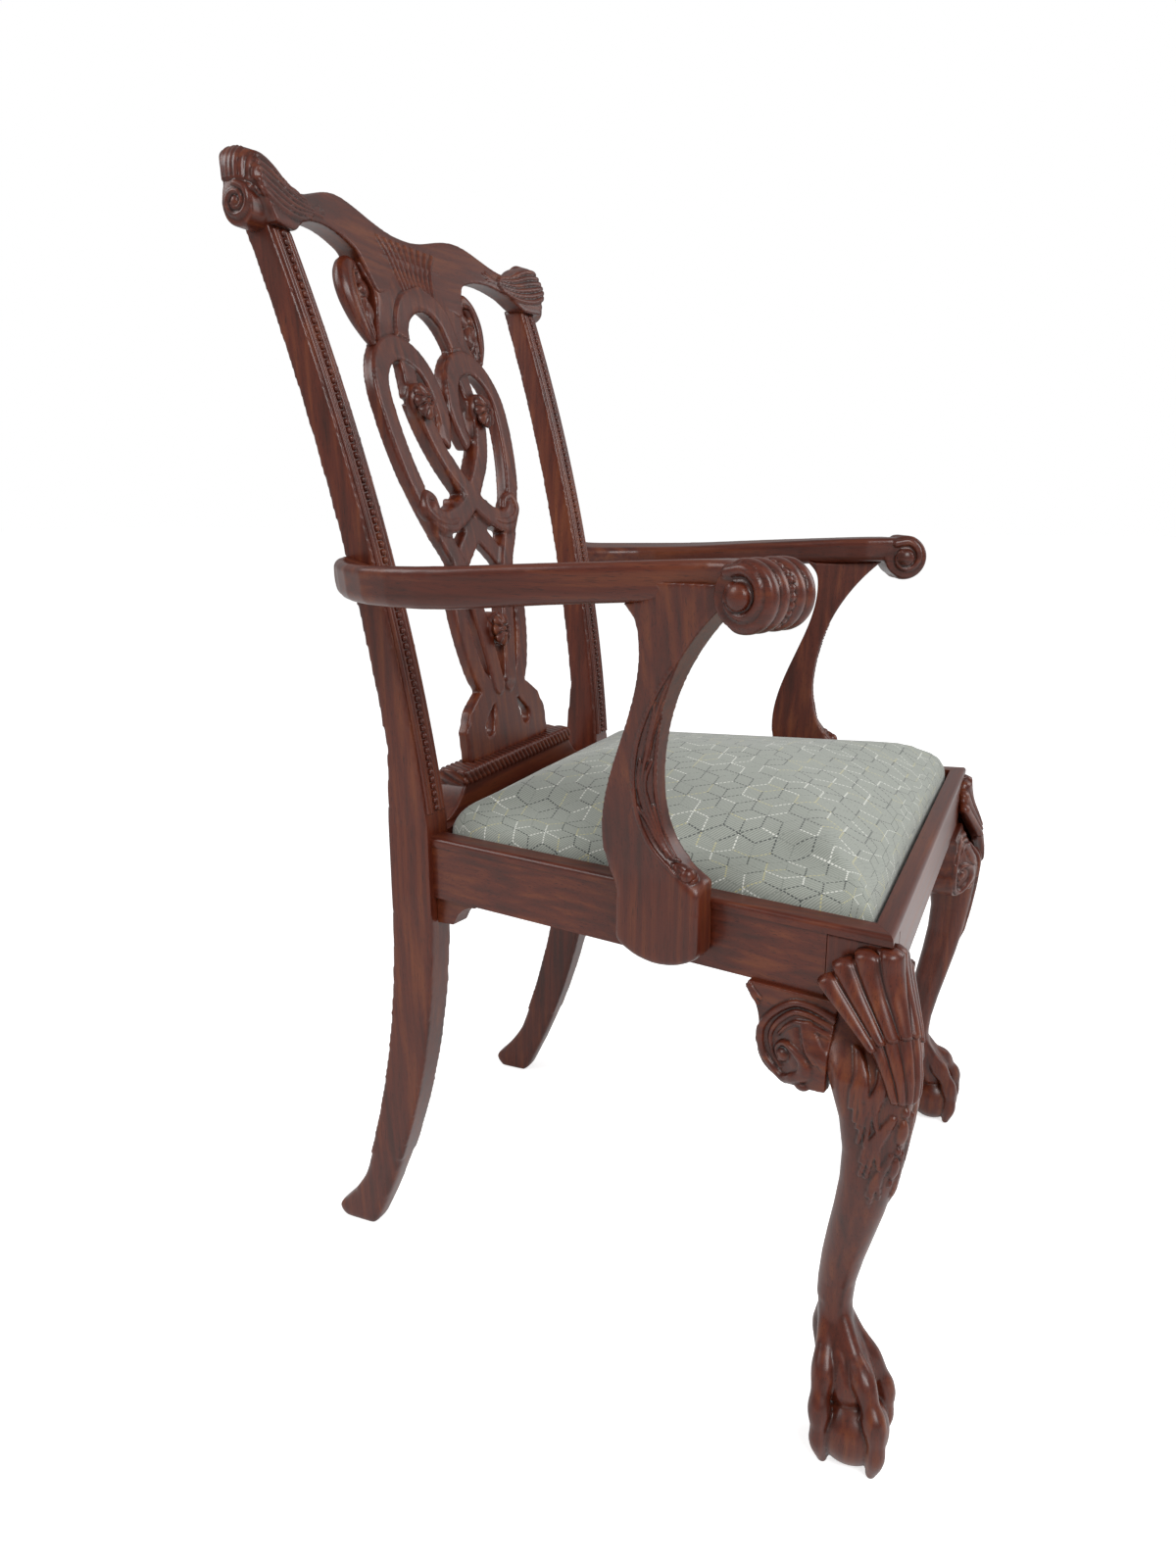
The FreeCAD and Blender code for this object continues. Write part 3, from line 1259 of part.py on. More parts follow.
def arm_section(centre, heading, width, height, dish):
    """Section of the arm: flat below, dished towards the sitter above."""
    along = Vector(heading.x, heading.y, 0).normalize()
    outward = Vector(-along.y, along.x, 0)
    corners = [(0.5, 0.5, 0), (-0.5, 0.5, dish), (-0.42, -0.5, 0), (0.42, -0.5, 0)]
    spots = [centre + outward * (across * width) + UP * (up * height - drop) for across, up, drop in corners]
    edges = []
    for index, spot in enumerate(spots):
        before = spots[index - 1]
        after = spots[(index + 1) % 4]
        bend = height * 0.28
        first = spot + (before - spot).normalize() * bend
        last = spot + (after - spot).normalize() * bend
        if edges:
            edges.append(line(edges[-1].Vertexes[1].Point, first))
        edges.append(arc(first, spot * 0.5 + (first + last) * 0.25, last))
    edges.append(line(edges[-1].Vertexes[1].Point, edges[0].Vertexes[0].Point))
    return Part.Wire(edges)


def arm_stations():
    """Middle line of the left arm: place, height of the top, width and thickness."""
    side = size("arm_spread") / 2
    wide = size("arm_width")
    thick = size("arm_thickness")
    high = ARM_TOP
    drop = size("arm_drop")
    root = size("arm_root_depth")
    bend = size("arm_bend")
    reach = size("arm_reach")
    root_x = post_outside(high - thick / 2) - 4
    drum = drum_place()
    heading = drum_heading()
    near = drum - heading * (size("drum_radius") * 2.3)
    return [
        (Vector(root_x, BACK + root, 0), high - drop * 0.6, size("arm_root_width"), thick),
        (Vector((root_x * 0.55 + side * 0.45), BACK + root * 0.6, 0), high - drop, wide * 0.86, thick),
        (Vector(side - 8, BACK - bend, 0), high - drop * 1.1, wide * 0.97, thick * 1.03),
        (Vector(side, BACK - bend - reach * 0.2, 0), high - drop, wide, thick * 1.06),
        (Vector(side, BACK - reach * 0.44, 0), high - drop * 0.65, wide * 0.97, thick),
        (Vector(side + 1, BACK - reach * 0.65, 0), high - drop * 0.3, wide * 0.97, thick * 0.94),
        (Vector(near.x, near.y, 0), high, wide * 1.05, thick * 0.9),
        (Vector(drum.x, drum.y, 0), high - 0.5, size("drum_width") * 0.92, thick * 0.8),
    ]


def post_outside(z):
    """Half the width over the posts at a height."""
    share = (z - BLOCK_HIGH) / (POST_TOP - BLOCK_HIGH)
    top = POST_IN + size("post_spread") + size("post_top_width")
    return POST_OUT + (top - POST_OUT) * share


def drum_place():
    """Middle of the scroll at the left arm's end."""
    return Vector(
        size("arm_end_spread") / 2, BACK - size("arm_reach"), ARM_TOP - size("drum_radius"),
    )


def drum_heading():
    """Direction in which the left arm ends."""
    turn = math.radians(size("drum_turn"))
    return Vector(math.sin(turn), -math.cos(turn), 0)


def make_arm_blank():
    """Left arm with its scroll, before its joints are cut."""
    stations = arm_stations()
    places = list(range(len(stations)))
    course = smooth_course([Vector(spot.x, spot.y, high) for spot, high, _, _ in stations], places)
    girth = smooth_course([Vector(width, thick, 0) for _, _, width, thick in stations], places)
    sections = []
    for place in spaced(places[0], places[-1], ARM_SECTIONS):
        width, thick, _ = girth.value(place)
        dish = size("arm_dish") * (1 - place / places[-1])
        centre = course.value(place) - UP * (thick / 2)
        sections.append(arm_section(centre, course.getDN(place, 1), width, thick, dish))
    arm = Part.makeLoft(sections, True, True)
    heading = drum_heading()
    axis = Vector(-heading.y, heading.x, 0)
    wide = size("drum_width")
    start = drum_place() - axis * (wide / 2)
    drum = Part.makeCylinder(size("drum_radius"), wide, start, axis)
    rise = size("eye_rise")
    eye = Part.makeCylinder(size("eye_radius"), wide + 2 * rise, start - axis * rise, axis)
    return arm.fuse([drum, eye])


def arm_dowel(play):
    """Dowel between the left post and the arm, larger by the play."""
    z = ARM_TOP - size("arm_drop") - size("arm_thickness") / 2
    start = post_outside(z) - size("arm_dowel_depth") - play
    place = Vector(start, BACK + size("arm_root_depth"), z)
    return Part.makeCylinder(size("dowel_radius") + play, size("dowel_length") + 2 * play, place, ACROSS)


def support_dowel_place():
    """Foot of the dowel between the left support and the arm."""
    along = (SCROLL_ALONG + size("support_neck_back")) - size("support_neck_length") / 2
    outward = size("support_lean") + size("support_top_thickness") / 2
    return beside(along, outward, ARM_TOP - size("support_neck_drop") + size("dowel_radius"))


def support_dowel(play):
    """Dowel between the left support and the arm, larger by the play."""
    place = support_dowel_place() - UP * play
    return Part.makeCylinder(size("dowel_radius") + play, size("dowel_length") + 2 * play, place)


def post_face_wedge():
    """Space inside the left post's outer face."""
    top = POST_IN + size("post_spread") + size("post_top_width")
    low = [Vector(0, 0, BLOCK_HIGH), Vector(POST_OUT, 0, BLOCK_HIGH)]
    points = low + [Vector(top, 0, POST_TOP), Vector(0, 0, POST_TOP)]
    return prism(points, BACKWARD * FAR)


def make_arm():
    """Left arm between its post and its scroll."""
    return make_arm_blank().cut([post_face_wedge(), arm_dowel(PLAY), support_dowel(PLAY)])


# Arm supports
def support_outline():
    """Left arm support seen from the side, on the side rail's face."""
    front = size("support_front")
    foot_back = front + size("support_foot_length")
    low = TOP - size("support_foot_drop")
    edge = size("support_foot_drop") / 4
    corner_z = TOP + size("support_foot_rise")
    waist_z = ARM_TOP - size("support_waist_drop")
    neck_z = ARM_TOP - size("support_neck_drop")
    waist = (SCROLL_ALONG + size("support_waist_back"))
    neck = (SCROLL_ALONG + size("support_neck_back"))
    head = (SCROLL_ALONG + size("support_head_back"))
    head_z = ARM_TOP - size("arm_thickness") / 2
    waist_front = waist - size("support_waist_length")
    neck_front = neck - size("support_neck_length")
    front_line = Part.BSplineCurve()
    front_line.interpolate([beside(*spot) for spot in (
        (front, 0, corner_z),
        ((front + waist_front) / 2 + size("support_belly"), 0, (corner_z * 2 + waist_z) / 3),
        (waist_front, 0, waist_z),
        (neck_front, 0, neck_z),
        (head - size("support_head_length"), 0, head_z),
    )])
    rear_line = Part.BSplineCurve()
    rear_line.interpolate([beside(*spot) for spot in (
        (head, 0, head_z), (neck, 0, neck_z), (waist, 0, waist_z), (foot_back, 0, TOP),
    )])
    edges = [
        line(beside(front, 0, low + edge), beside(front, 0, corner_z)),
        front_line.toShape(),
        line(beside(head - size("support_head_length"), 0, head_z), beside(head, 0, head_z)),
        rear_line.toShape(),
        line(beside(foot_back, 0, TOP), beside(foot_back, 0, low + edge)),
        arc(
            beside(foot_back, 0, low + edge),
            beside((front + foot_back) / 2, 0, low),
            beside(front, 0, low + edge),
        ),
    ]
    return Part.Face(Part.Wire(edges))


def make_support(rail, arm):
    """Left arm support, fitted to the rail's face and under the arm."""
    lean = size("support_lean")
    foot = size("support_foot_thickness")
    high = ARM_TOP
    low = TOP - size("support_foot_drop")
    knee = TOP + size("support_foot_rise")
    spots = [(0, low), (foot, low), (foot, knee)]
    spots += [(lean + size("support_top_thickness"), high), (lean, high), (0, knee)]
    side = prism([beside(0, out, z) for out, z in spots], ALONG * FAR)
    body = support_outline().extrude(OUTWARD * FAR).common(side)
    holes = [hole for _, hole in support_screws()]
    return body.cut([rail, arm, support_dowel(PLAY)] + holes)


def support_screws():
    """Screws through the left side rail into the arm support."""
    along = size("support_front") + size("support_foot_length") / 2
    middle = (RAIL_LOW + LEDGE) / 2
    depth = -size("rail_thickness") + size("screw_head_height")
    gap = size("support_foot_length") / 4
    return [screw(beside(along + way * gap, depth, middle), OUTWARD) for way in (-1, 1)]


# Drop-in seat
def seat_plan(inset, height, draw_in, radius):
    """Outline of the loose seat: sides drawn in between rounded corners."""
    clear = size("seat_side_clearance") + inset
    side = size("side_lip_width") + clear
    front_y = FRONT + size("front_lip_width") + clear
    rear_y = BACK - clear
    corners = [
        Vector(-side_x(front_y, side), front_y, height), Vector(side_x(front_y, side), front_y, height),
        Vector(side_x(rear_y, side), rear_y, height), Vector(-side_x(rear_y, side), rear_y, height),
    ]
    middle = (corners[0] + corners[1] + corners[2] + corners[3]) * 0.25
    edges = []
    for index, corner in enumerate(corners):
        before = corners[index - 1]
        after = corners[(index + 1) % 4]
        first = corner + (before - corner).normalize() * radius
        last = corner + (after - corner).normalize() * radius
        turn = arc(first, corner * 0.5 + (first + last) * 0.25, last)
        next_first = after + (corner - after).normalize() * radius
        waist = (last + next_first) * 0.5
        waist = waist + (middle - waist).normalize() * draw_in
        edges += [turn, arc(last, waist, next_first)]
    return Part.Wire(edges)


def shoulder_arc(edge, inward, drop):
    """Round shoulder of the loose seat above one point of its edge, and where it ends."""
    rise = UP * (size("seat_shoulder") - drop)
    end = edge + inward * size("seat_shoulder_inset") + rise
    bulge = (rise - inward * size("seat_shoulder_inset")) * SHOULDER_SWELL
    return arc(edge, (edge + end) * 0.5 + bulge, end), end


def crown_lengthwise(inset, drop, low):
    """Form of the loose seat from front to back, crowned in the middle."""
    clear = size("seat_side_clearance") + inset
    front = Vector(-FAR / 2, FRONT + size("front_lip_width") + clear, TOP)
    rear = Vector(-FAR / 2, BACK - clear, TOP)
    front_round, front_end = shoulder_arc(front, BACKWARD, drop)
    rear_round, rear_end = shoulder_arc(rear, BACKWARD * -1, drop)
    middle = (front + rear) * 0.5 + UP * (size("seat_crown") - drop)
    down = UP * (low - TOP)
    edges = [
        line(front + down, front), front_round, arc(front_end, middle, rear_end), rear_round,
        line(rear, rear + down), line(rear + down, front + down),
    ]
    return Part.Face(Part.Wire(Part.sortEdges(edges)[0])).extrude(ACROSS * FAR)


def crown_crosswise(inset, drop, low):
    """Form of the loose seat on its left side, rising to the crown's height in the middle."""
    clear = size("side_lip_width") + size("seat_side_clearance") + inset
    edge = beside(-FAR / 2, -clear, TOP)
    inward = OUTWARD * -1
    side_round, side_end = shoulder_arc(edge, inward, drop)
    middle = edge + inward * (size("seat_front_width") / 2) + UP * (size("seat_crown") - drop)
    swell = UP * (size("seat_crown") - size("seat_shoulder")) * SHOULDER_SWELL
    far = middle + inward * FAR
    down = UP * (low - TOP)
    edges = [
        line(edge + down, edge), side_round, arc(side_end, (side_end + middle) * 0.5 + swell, middle),
        line(middle, far), line(far, Vector(far.x, far.y, low)), line(Vector(far.x, far.y, low), edge + down),
    ]
    return Part.Face(Part.Wire(Part.sortEdges(edges)[0])).extrude(ALONG * FAR)


def seat_form(inset, drop, low):
    """Crowned form of the loose seat, smaller by an inset and lower by a drop."""
    plan = Part.Face(seat_plan(inset, low, size("seat_draw_in"), size("seat_corner_radius")))
    left = crown_crosswise(inset, drop, low)
    form = plan.extrude(UP * size("seat_height")).common(crown_lengthwise(inset, drop, low))
    return form.common(left).common(mirrored(left))


SHOULDER_SWELL = 0.2
SEAT_LOW = LEDGE + size("seat_clearance")
FRAME_TOP = SEAT_LOW + size("frame_rail_thickness")
GAP = size("layer_gap")
FRAME_INSET = size("cover_thickness") + size("seat_draw_in") + GAP
WEB_LOW = FRAME_TOP + GAP
WEB_HIGH = WEB_LOW + size("webbing_thickness") + GAP
CLOTH_LOW = WEB_HIGH + size("webbing_thickness") + GAP
PAD_LOW = CLOTH_LOW + size("cloth_thickness") + GAP


def make_cover():
    """Cover cloth over the padding and round the frame."""
    skin = size("cover_thickness")
    outer = seat_form(0.0, 0.0, SEAT_LOW)
    inner = seat_form(skin, skin, SEAT_LOW - 1)
    return outer.cut(inner)


def make_padding():
    """Crowned padding on the base cloth."""
    skin = size("cover_thickness") + GAP
    form = seat_form(skin, skin, SEAT_LOW)
    return form.common(block(Vector(-FAR, -FAR, PAD_LOW), Vector(FAR, FAR, FAR)))


def frame_line(inset):
    """Offset from the side rail's face of a line inside the loose seat's edge."""
    return size("side_lip_width") + size("seat_side_clearance") + FRAME_INSET + inset


def frame_ends():
    """Depths of the front and the rear edge of the loose seat's frame."""
    clear = size("seat_side_clearance") + FRAME_INSET
    return FRONT + size("front_lip_width") + clear, BACK - clear



def add_frame_sides():
    """Side rails of the loose seat's frame, their outer corners cut off."""
    cut_front = "(%s + frame_corner_cut)" % SEAT_FRONT_AT
    cut_rear = "(%s - frame_corner_cut)" % SEAT_REAR_AT
    corners = [
        (seat_side_at(SEAT_FRONT_AT, "frame_rail_width"), SEAT_FRONT_AT),
        ("(%s - frame_corner_cut)" % seat_side_at(SEAT_FRONT_AT, "0"), SEAT_FRONT_AT),
        (seat_side_at(cut_front, "0"), cut_front),
        (seat_side_at(cut_rear, "0"), cut_rear),
        ("(%s - frame_corner_cut)" % seat_side_at(SEAT_REAR_AT, "0"), SEAT_REAR_AT),
        (seat_side_at(SEAT_REAR_AT, "frame_rail_width"), SEAT_REAR_AT),
    ]
    body = add_padded_body("seat_frame_side_blank", [(corners, SEAT_AT, "frame_rail_thickness")])
    add_twin("seat_frame_side", add_drilled("seat_frame_side_left", body, frame_dowels(PLAY)))


def add_frame_cross(label, near, far):
    """Front or rear rail of the loose seat's frame, between the side rails."""
    near_x = seat_side_at(near, "frame_rail_width")
    far_x = seat_side_at(far, "frame_rail_width")
    corners = [("-" + near_x, near), (near_x, near), (far_x, far), ("-" + far_x, far)]
    body = add_padded_body(label + "_blank", [(corners, SEAT_AT, "frame_rail_thickness")])
    dowels = frame_dowels(PLAY)
    add_drilled(label, body, dowels + [mirrored(dowel) for dowel in dowels])


def frame_dowels(play):
    """Dowels at the left corners of the loose seat's frame."""
    front, rear = frame_ends()
    wide = size("frame_rail_width")
    radius = size("frame_rail_thickness") / 5
    inner = frame_line(wide)
    z = SEAT_LOW + size("frame_rail_thickness") / 2
    pins = []
    for y in (front + wide * 0.3, front + wide * 0.7, rear - wide * 0.7, rear - wide * 0.3):
        x = side_x(y, inner)
        long = size("dowel_length")
        start = Vector(x - long / 2 - play, y, z)
        pins.append(Part.makeCylinder(radius + play, long + 2 * play, start, ACROSS))
    return pins


def add_webbing():
    """Straps of webbing from front to back, and over them from side to side."""
    start = "(%s + webbing_turn_in)" % SEAT_FRONT_AT
    run = "(%s - %s - 2 * webbing_turn_in)" % (SEAT_REAR_AT, SEAT_FRONT_AT)
    add_boxes("webbing_lengthwise", [(
        ("%d * webbing_pitch - webbing_width / 2" % way, start, SEAT_TOP_AT),
        ("webbing_width", run, "webbing_thickness"),
    ) for way in (-1, 0, 1)])
    over = "%s + webbing_thickness + layer_gap" % SEAT_TOP_AT
    straps = []
    for way in (-1, 0, 1):
        middle = "((%s + %s) / 2 + %d * webbing_cross_pitch)" % (SEAT_FRONT_AT, SEAT_REAR_AT, way)
        end = seat_side_at("(%s + webbing_width / 2)" % middle, "webbing_turn_in")
        straps.append((
            ("-" + end, "%s - webbing_width / 2" % middle, over),
            ("2 * " + end, "webbing_width", "webbing_thickness"),
        ))
    add_boxes("webbing_crosswise", straps)



def add_cloth(label, level, inset):
    """Flat cloth inside the edge of the loose seat's frame."""
    front = "(%s + %s)" % (SEAT_FRONT_AT, inset)
    rear = "(%s - %s)" % (SEAT_REAR_AT, inset)
    front_x = seat_side_at(front, inset)
    rear_x = seat_side_at(rear, inset)
    corners = [("-" + front_x, front), (front_x, front), (rear_x, rear), ("-" + rear_x, rear)]
    NODES.append(add_padded_body(label, [(corners, level, "cloth_thickness")]))


def build():
    """Build every sub-part of the chair."""
    rail = make_side_rail()
    arm = make_arm()
    add_pair("rear_post", make_post())
    add_node("crest_rail", make_crest())
    add_node("splat", make_splat())
    add_node("splat_shoe", make_shoe())
    add_node("front_seat_rail", make_front_rail())
    add_node("rear_seat_rail", make_rear_rail())
    add_pair("side_seat_rail", rail)
    add_pair("front_leg", make_leg())
    add_pair("knee_bracket_front", make_front_bracket())
    add_pair("knee_bracket_side", make_side_bracket())
    add_pair("rear_bracket", make_rear_bracket())
    add_front_blocks()
    add_rear_blocks()
    add_pair("arm", arm)
    add_pair("arm_support", make_support(rail, make_arm_blank()))
    pins = [support_dowel(0), arm_dowel(0)]
    add_node("arm_dowels", Part.makeCompound(pins + [mirrored(pin) for pin in pins]))
    screws = [item for item, _ in front_block_screws() + rear_block_screws()]
    add_node("corner_block_screws", Part.makeCompound(screws + [mirrored(item) for item in screws]))
    screws = [item for item, _ in support_screws()]
    add_node("arm_support_screws", Part.makeCompound(screws + [mirrored(item) for item in screws]))
    add_frame_sides()
    add_frame_cross("seat_frame_front", SEAT_FRONT_AT, "(%s + frame_rail_width)" % SEAT_FRONT_AT)
    add_frame_cross("seat_frame_rear", "(%s - frame_rail_width)" % SEAT_REAR_AT, SEAT_REAR_AT)
    pins = frame_dowels(0)
    add_node("seat_frame_dowels", Part.makeCompound(pins + [mirrored(pin) for pin in pins]))
    add_webbing()
    layers = "2 * webbing_thickness + 2 * layer_gap"
    add_cloth("base_cloth", "%s + %s" % (SEAT_TOP_AT, layers), "base_cloth_inset")
    add_cloth("dust_cover", "%s - layer_gap - cloth_thickness" % SEAT_AT, "dust_cover_inset")
    add_node("seat_padding", make_padding())
    add_node("seat_cover", make_cover())


build()
doc.recompute()
for feature in doc.Objects:
    if "Invalid" in feature.State or "Error" in feature.State:
        raise RuntimeError("failed: " + feature.Label)
for node in NODES:
    if node.Shape.isNull() or not node.Shape.isValid():
        raise RuntimeError("bad shape: " + node.Label)
os.makedirs("parts", exist_ok=True)
for node in NODES:
    node.Shape.exportStep("parts/%s.step" % node.Label)
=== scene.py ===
"""Carved mahogany armchair with a drop-in seat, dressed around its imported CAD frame.

Lengths in the classes are millimetres in the frame's own axes: +Z up, the chair faces -Y and the
sitter's left is +X. Meshes are written in metres. Pieces are carved on the left and mirrored.
"""

import logging
import math
from collections.abc import Sequence
from dataclasses import dataclass, field
from enum import Enum

import bmesh
import bpy
import numpy as np
from mathutils import Matrix, Vector


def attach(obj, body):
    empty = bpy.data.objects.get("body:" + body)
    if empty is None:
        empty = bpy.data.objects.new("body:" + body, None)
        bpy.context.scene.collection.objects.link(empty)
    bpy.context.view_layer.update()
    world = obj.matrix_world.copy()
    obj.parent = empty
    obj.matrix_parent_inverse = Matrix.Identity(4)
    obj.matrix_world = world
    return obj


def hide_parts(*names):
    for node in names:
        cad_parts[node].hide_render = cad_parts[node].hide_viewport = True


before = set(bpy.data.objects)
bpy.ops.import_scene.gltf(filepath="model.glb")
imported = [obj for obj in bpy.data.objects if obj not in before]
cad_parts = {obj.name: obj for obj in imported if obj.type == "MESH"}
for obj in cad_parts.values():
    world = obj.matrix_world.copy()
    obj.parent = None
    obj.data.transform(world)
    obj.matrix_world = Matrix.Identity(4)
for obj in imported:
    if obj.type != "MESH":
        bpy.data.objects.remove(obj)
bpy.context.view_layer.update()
LOG = logging.getLogger("armchair")
MM = 0.001
DIAGONAL = math.sqrt(0.5)
# Angle from which an edge of plain wood counts as sharp.
SHARP = math.radians(38)
# A wave texture of scale one repeats about 3.2 times in a metre.
WAVE_REPEATS = 3.2
# Front left corner of the seat rails, on which the leg stands.
CORNER = (274.0, -274.71)
# Places that a strand or a limb passes, each with its radius where it is round.
Path = Sequence[tuple[float, ...]]


class Body(Enum):
    """Bodies of the chair that pieces ride on."""

    FRAME = "frame"
    SEAT = "drop_in_seat"


class Grain(Enum):
    """Direction in which a piece's wood grain runs."""

    ACROSS = 0
    DEPTH = 1
    UP = 2


# Materials


def linear(colour: str) -> tuple[float, float, float, float]:
    """Turn an sRGB hex colour to linear values.

    Args:
        colour: Six hex digits.

    Returns:
        Red, green, blue and an alpha of one.
    """
    channels = [int(colour[start:start + 2], 16) / 255 for start in (0, 2, 4)]
    values = [c / 12.92 if c <= 0.04045 else ((c + 0.055) / 1.055) ** 2.4 for c in channels]
    return (values[0], values[1], values[2], 1.0)


def add_node(
    tree: bpy.types.NodeTree,
    kind: str,
    settings: dict | None = None,
    links: dict | None = None,
) -> bpy.types.Node:
    """Add a shader node with its settings and links.

    Args:
        tree: Tree that gets the node.
        kind: Type of the node.
        settings: Properties by name, sockets by name or number, and "ramp" for a ramp's stops.
        links: Output sockets by the name or number of the input that they feed.

    Returns:
        The node.
    """
    node = tree.nodes.new(kind)
    for name, value in (settings or {}).items():
        if name == "ramp":
            stops = node.color_ramp.elements
            while len(stops) < len(value):
                stops.new(0.5)
            for stop, (place, colour) in zip(stops, value):
                stop.position = place
                stop.color = linear(colour)
        elif isinstance(name, int) or name[0].isupper():
            node.inputs[name].default_value = value
        else:
            setattr(node, name, value)
    for name, source in (links or {}).items():
        tree.links.new(source, node.inputs[name])
    return node


def new_material(name: str) -> tuple[bpy.types.Material, bpy.types.NodeTree]:
    """Start an empty material.

    Args:
        name: Name of the material.

    Returns:
        The material and its tree.
    """
    material = bpy.data.materials.new(name)
    material.use_nodes = True
    material.node_tree.nodes.clear()
    return material, material.node_tree


def add_shader(tree: bpy.types.NodeTree, settings: dict, links: dict) -> None:
    """Close a material's tree with its shader.

    Args:
        tree: Tree of the material.
        settings: Values of the shader's sockets that are the same all over the surface.
        links: Output sockets by the shader's input that they feed.
    """
    shader = add_node(tree, "ShaderNodeBsdfPrincipled", settings, links)
    add_node(tree, "ShaderNodeOutputMaterial", links={"Surface": shader.outputs["BSDF"]})


@dataclass(frozen=True)
class Mahogany:
    """Stained mahogany, scraped, French polished and waxed.

    The polish lies over open pores, so the eye sees deep red-brown with soft darker streaks along
    the grain and a warm gloss. Carved pieces get painted shade in their hollows, which also stands for the
    wax and dirt left dark in the carving.
    The pores are drawn wider than real ones, so that they show.
    """

    grain: Grain
    carved: bool = False
    dark: str = "3A160B"
    middle: str = "511F10"
    light: str = "693318"
    # Painted shade for the hollows of carved pieces, which also stands for the wax and dirt left there.
    painted_shade_and_dirt: str = "1E0C07"
    pore: str = "9A8C86"
    cloud_size: float = 1000 / 9
    streak_width: float = 7.0
    streak_length: float = 220.0
    pore_width: float = 0.7
    pore_length: float = 14.0
    roughness: tuple[float, float] = (0.28, 0.44)
    specular: float = 0.36
    coat: float = 0.12
    coat_roughness: float = 0.15

    def material(self) -> bpy.types.Material:
        """Make or find the material.

        Returns:
            The finish, named for its grain.
        """
        name = f"polished_mahogany_{self.grain.name.lower()}{'_carved' if self.carved else ''}"
        if name in bpy.data.materials:
            return bpy.data.materials[name]
        material, tree = new_material(name)
        place = add_node(tree, "ShaderNodeTexCoord").outputs["Object"]
        streaks = self._noise(tree, place, self.streak_width, self.streak_length, 4.0)
        pores = self._noise(tree, place, self.pore_width, self.pore_length, 2.0)
        cloud = add_node(tree, "ShaderNodeTexNoise", {"Scale": 1 / (self.cloud_size * MM), "Detail": 2.0},
                         {"Vector": place})
        faint = add_node(tree, "ShaderNodeMath", {"operation": "MULTIPLY", 1: 0.3}, {0: cloud.outputs[0]})
        tone = add_node(tree, "ShaderNodeMath", {"operation": "MULTIPLY_ADD", 1: 0.7},
                        {0: streaks, 2: faint.outputs[0]})
        wood = add_node(tree, "ShaderNodeValToRGB",
                        {"ramp": [(0.33, self.dark), (0.5, self.middle), (0.68, self.light)]},
                        {0: tone.outputs[0]})
        pored = add_node(tree, "ShaderNodeValToRGB", {"ramp": [(0.30, self.pore), (0.42, "FFFFFF")]},
                         {0: pores})
        colour = add_node(tree, "ShaderNodeMix", {"data_type": "RGBA", "blend_type": "MULTIPLY", 0: 0.8},
                          {6: wood.outputs[0], 7: pored.outputs[0]}).outputs[2]
        # Painted shade: on carved pieces the hollows, found by pointiness, darken towards the recess colour,
        # which also stands for wax and dirt.
        if self.carved:
            point = add_node(tree, "ShaderNodeNewGeometry").outputs["Pointiness"]
            hollow = add_node(tree, "ShaderNodeMapRange", {1: 0.44, 2: 0.51, 3: 0.85, 4: 0.0}, {0: point})
            colour = add_node(tree, "ShaderNodeMix", {"data_type": "RGBA", 7: linear(self.painted_shade_and_dirt)},
                              {0: hollow.outputs[0], 6: colour}).outputs[2]
        gloss = add_node(tree, "ShaderNodeMapRange", {3: self.roughness[0], 4: self.roughness[1]},
                         {0: tone.outputs[0]})
        bump = add_node(tree, "ShaderNodeBump", {"Strength": 0.12, "Distance": 0.2 * MM}, {"Height": pores})
        add_shader(tree, {"Specular IOR Level": self.specular, "Coat Weight": self.coat,
                          "Coat Roughness": self.coat_roughness},
                   {"Base Color": colour, "Roughness": gloss.outputs[0], "Normal": bump.outputs[0]})
        return material

    def _noise(self, tree: bpy.types.NodeTree, place: bpy.types.NodeSocket, width: float, length: float,
               detail: float) -> bpy.types.NodeSocket:
        """Noise drawn out along the grain.

        Args:
            tree: Tree that gets the nodes.
            place: Object coordinates.
            width: Size of the pattern across the grain.
            length: Size of the pattern along the grain.
            detail: Octaves of the noise.

        Returns:
            The noise value.
        """
        scale = [1 / (width * MM)] * 3
        scale[self.grain.value] = 1 / (length * MM)
        mapped = add_node(tree, "ShaderNodeMapping", {"Scale": scale}, {"Vector": place})
        noise = add_node(tree, "ShaderNodeTexNoise", {"Scale": 1.0, "Detail": detail, "Distortion": 0.3},
                         {"Vector": mapped.outputs[0]})
        return noise.outputs[0]


@dataclass(frozen=True)
class Beech:
    """Sawn beech of the hidden blocks and the loose seat's frame.

    The saw leaves it matt and a little furred, so the eye sees pale wood with short darker flecks.
    """

    pale: str = "B98F63"
    fleck: str = "8A6240"
    fleck_length: float = 50 / 3
    fleck_width: float = 2.0
    roughness: float = 0.7

    def material(self) -> bpy.types.Material:
        """Make the material.

        Returns:
            The finish.
        """
        material, tree = new_material("sawn_beech")
        place = add_node(tree, "ShaderNodeTexCoord").outputs["Object"]
        across = 1 / (self.fleck_width * MM)
        mapped = add_node(tree, "ShaderNodeMapping",
                          {"Scale": (1 / (self.fleck_length * MM), across, across)}, {"Vector": place})
        noise = add_node(tree, "ShaderNodeTexNoise", {"Scale": 1.0, "Detail": 3.0},
                         {"Vector": mapped.outputs[0]}).outputs[0]
        wood = add_node(tree, "ShaderNodeValToRGB", {"ramp": [(0.35, self.fleck), (0.6, self.pale)]},
                        {0: noise})
        bump = add_node(tree, "ShaderNodeBump", {"Strength": 0.2, "Distance": 0.3 * MM}, {"Height": noise})
        add_shader(tree, {"Roughness": self.roughness},
                   {"Base Color": wood.outputs[0], "Normal": bump.outputs[0]})
        return material


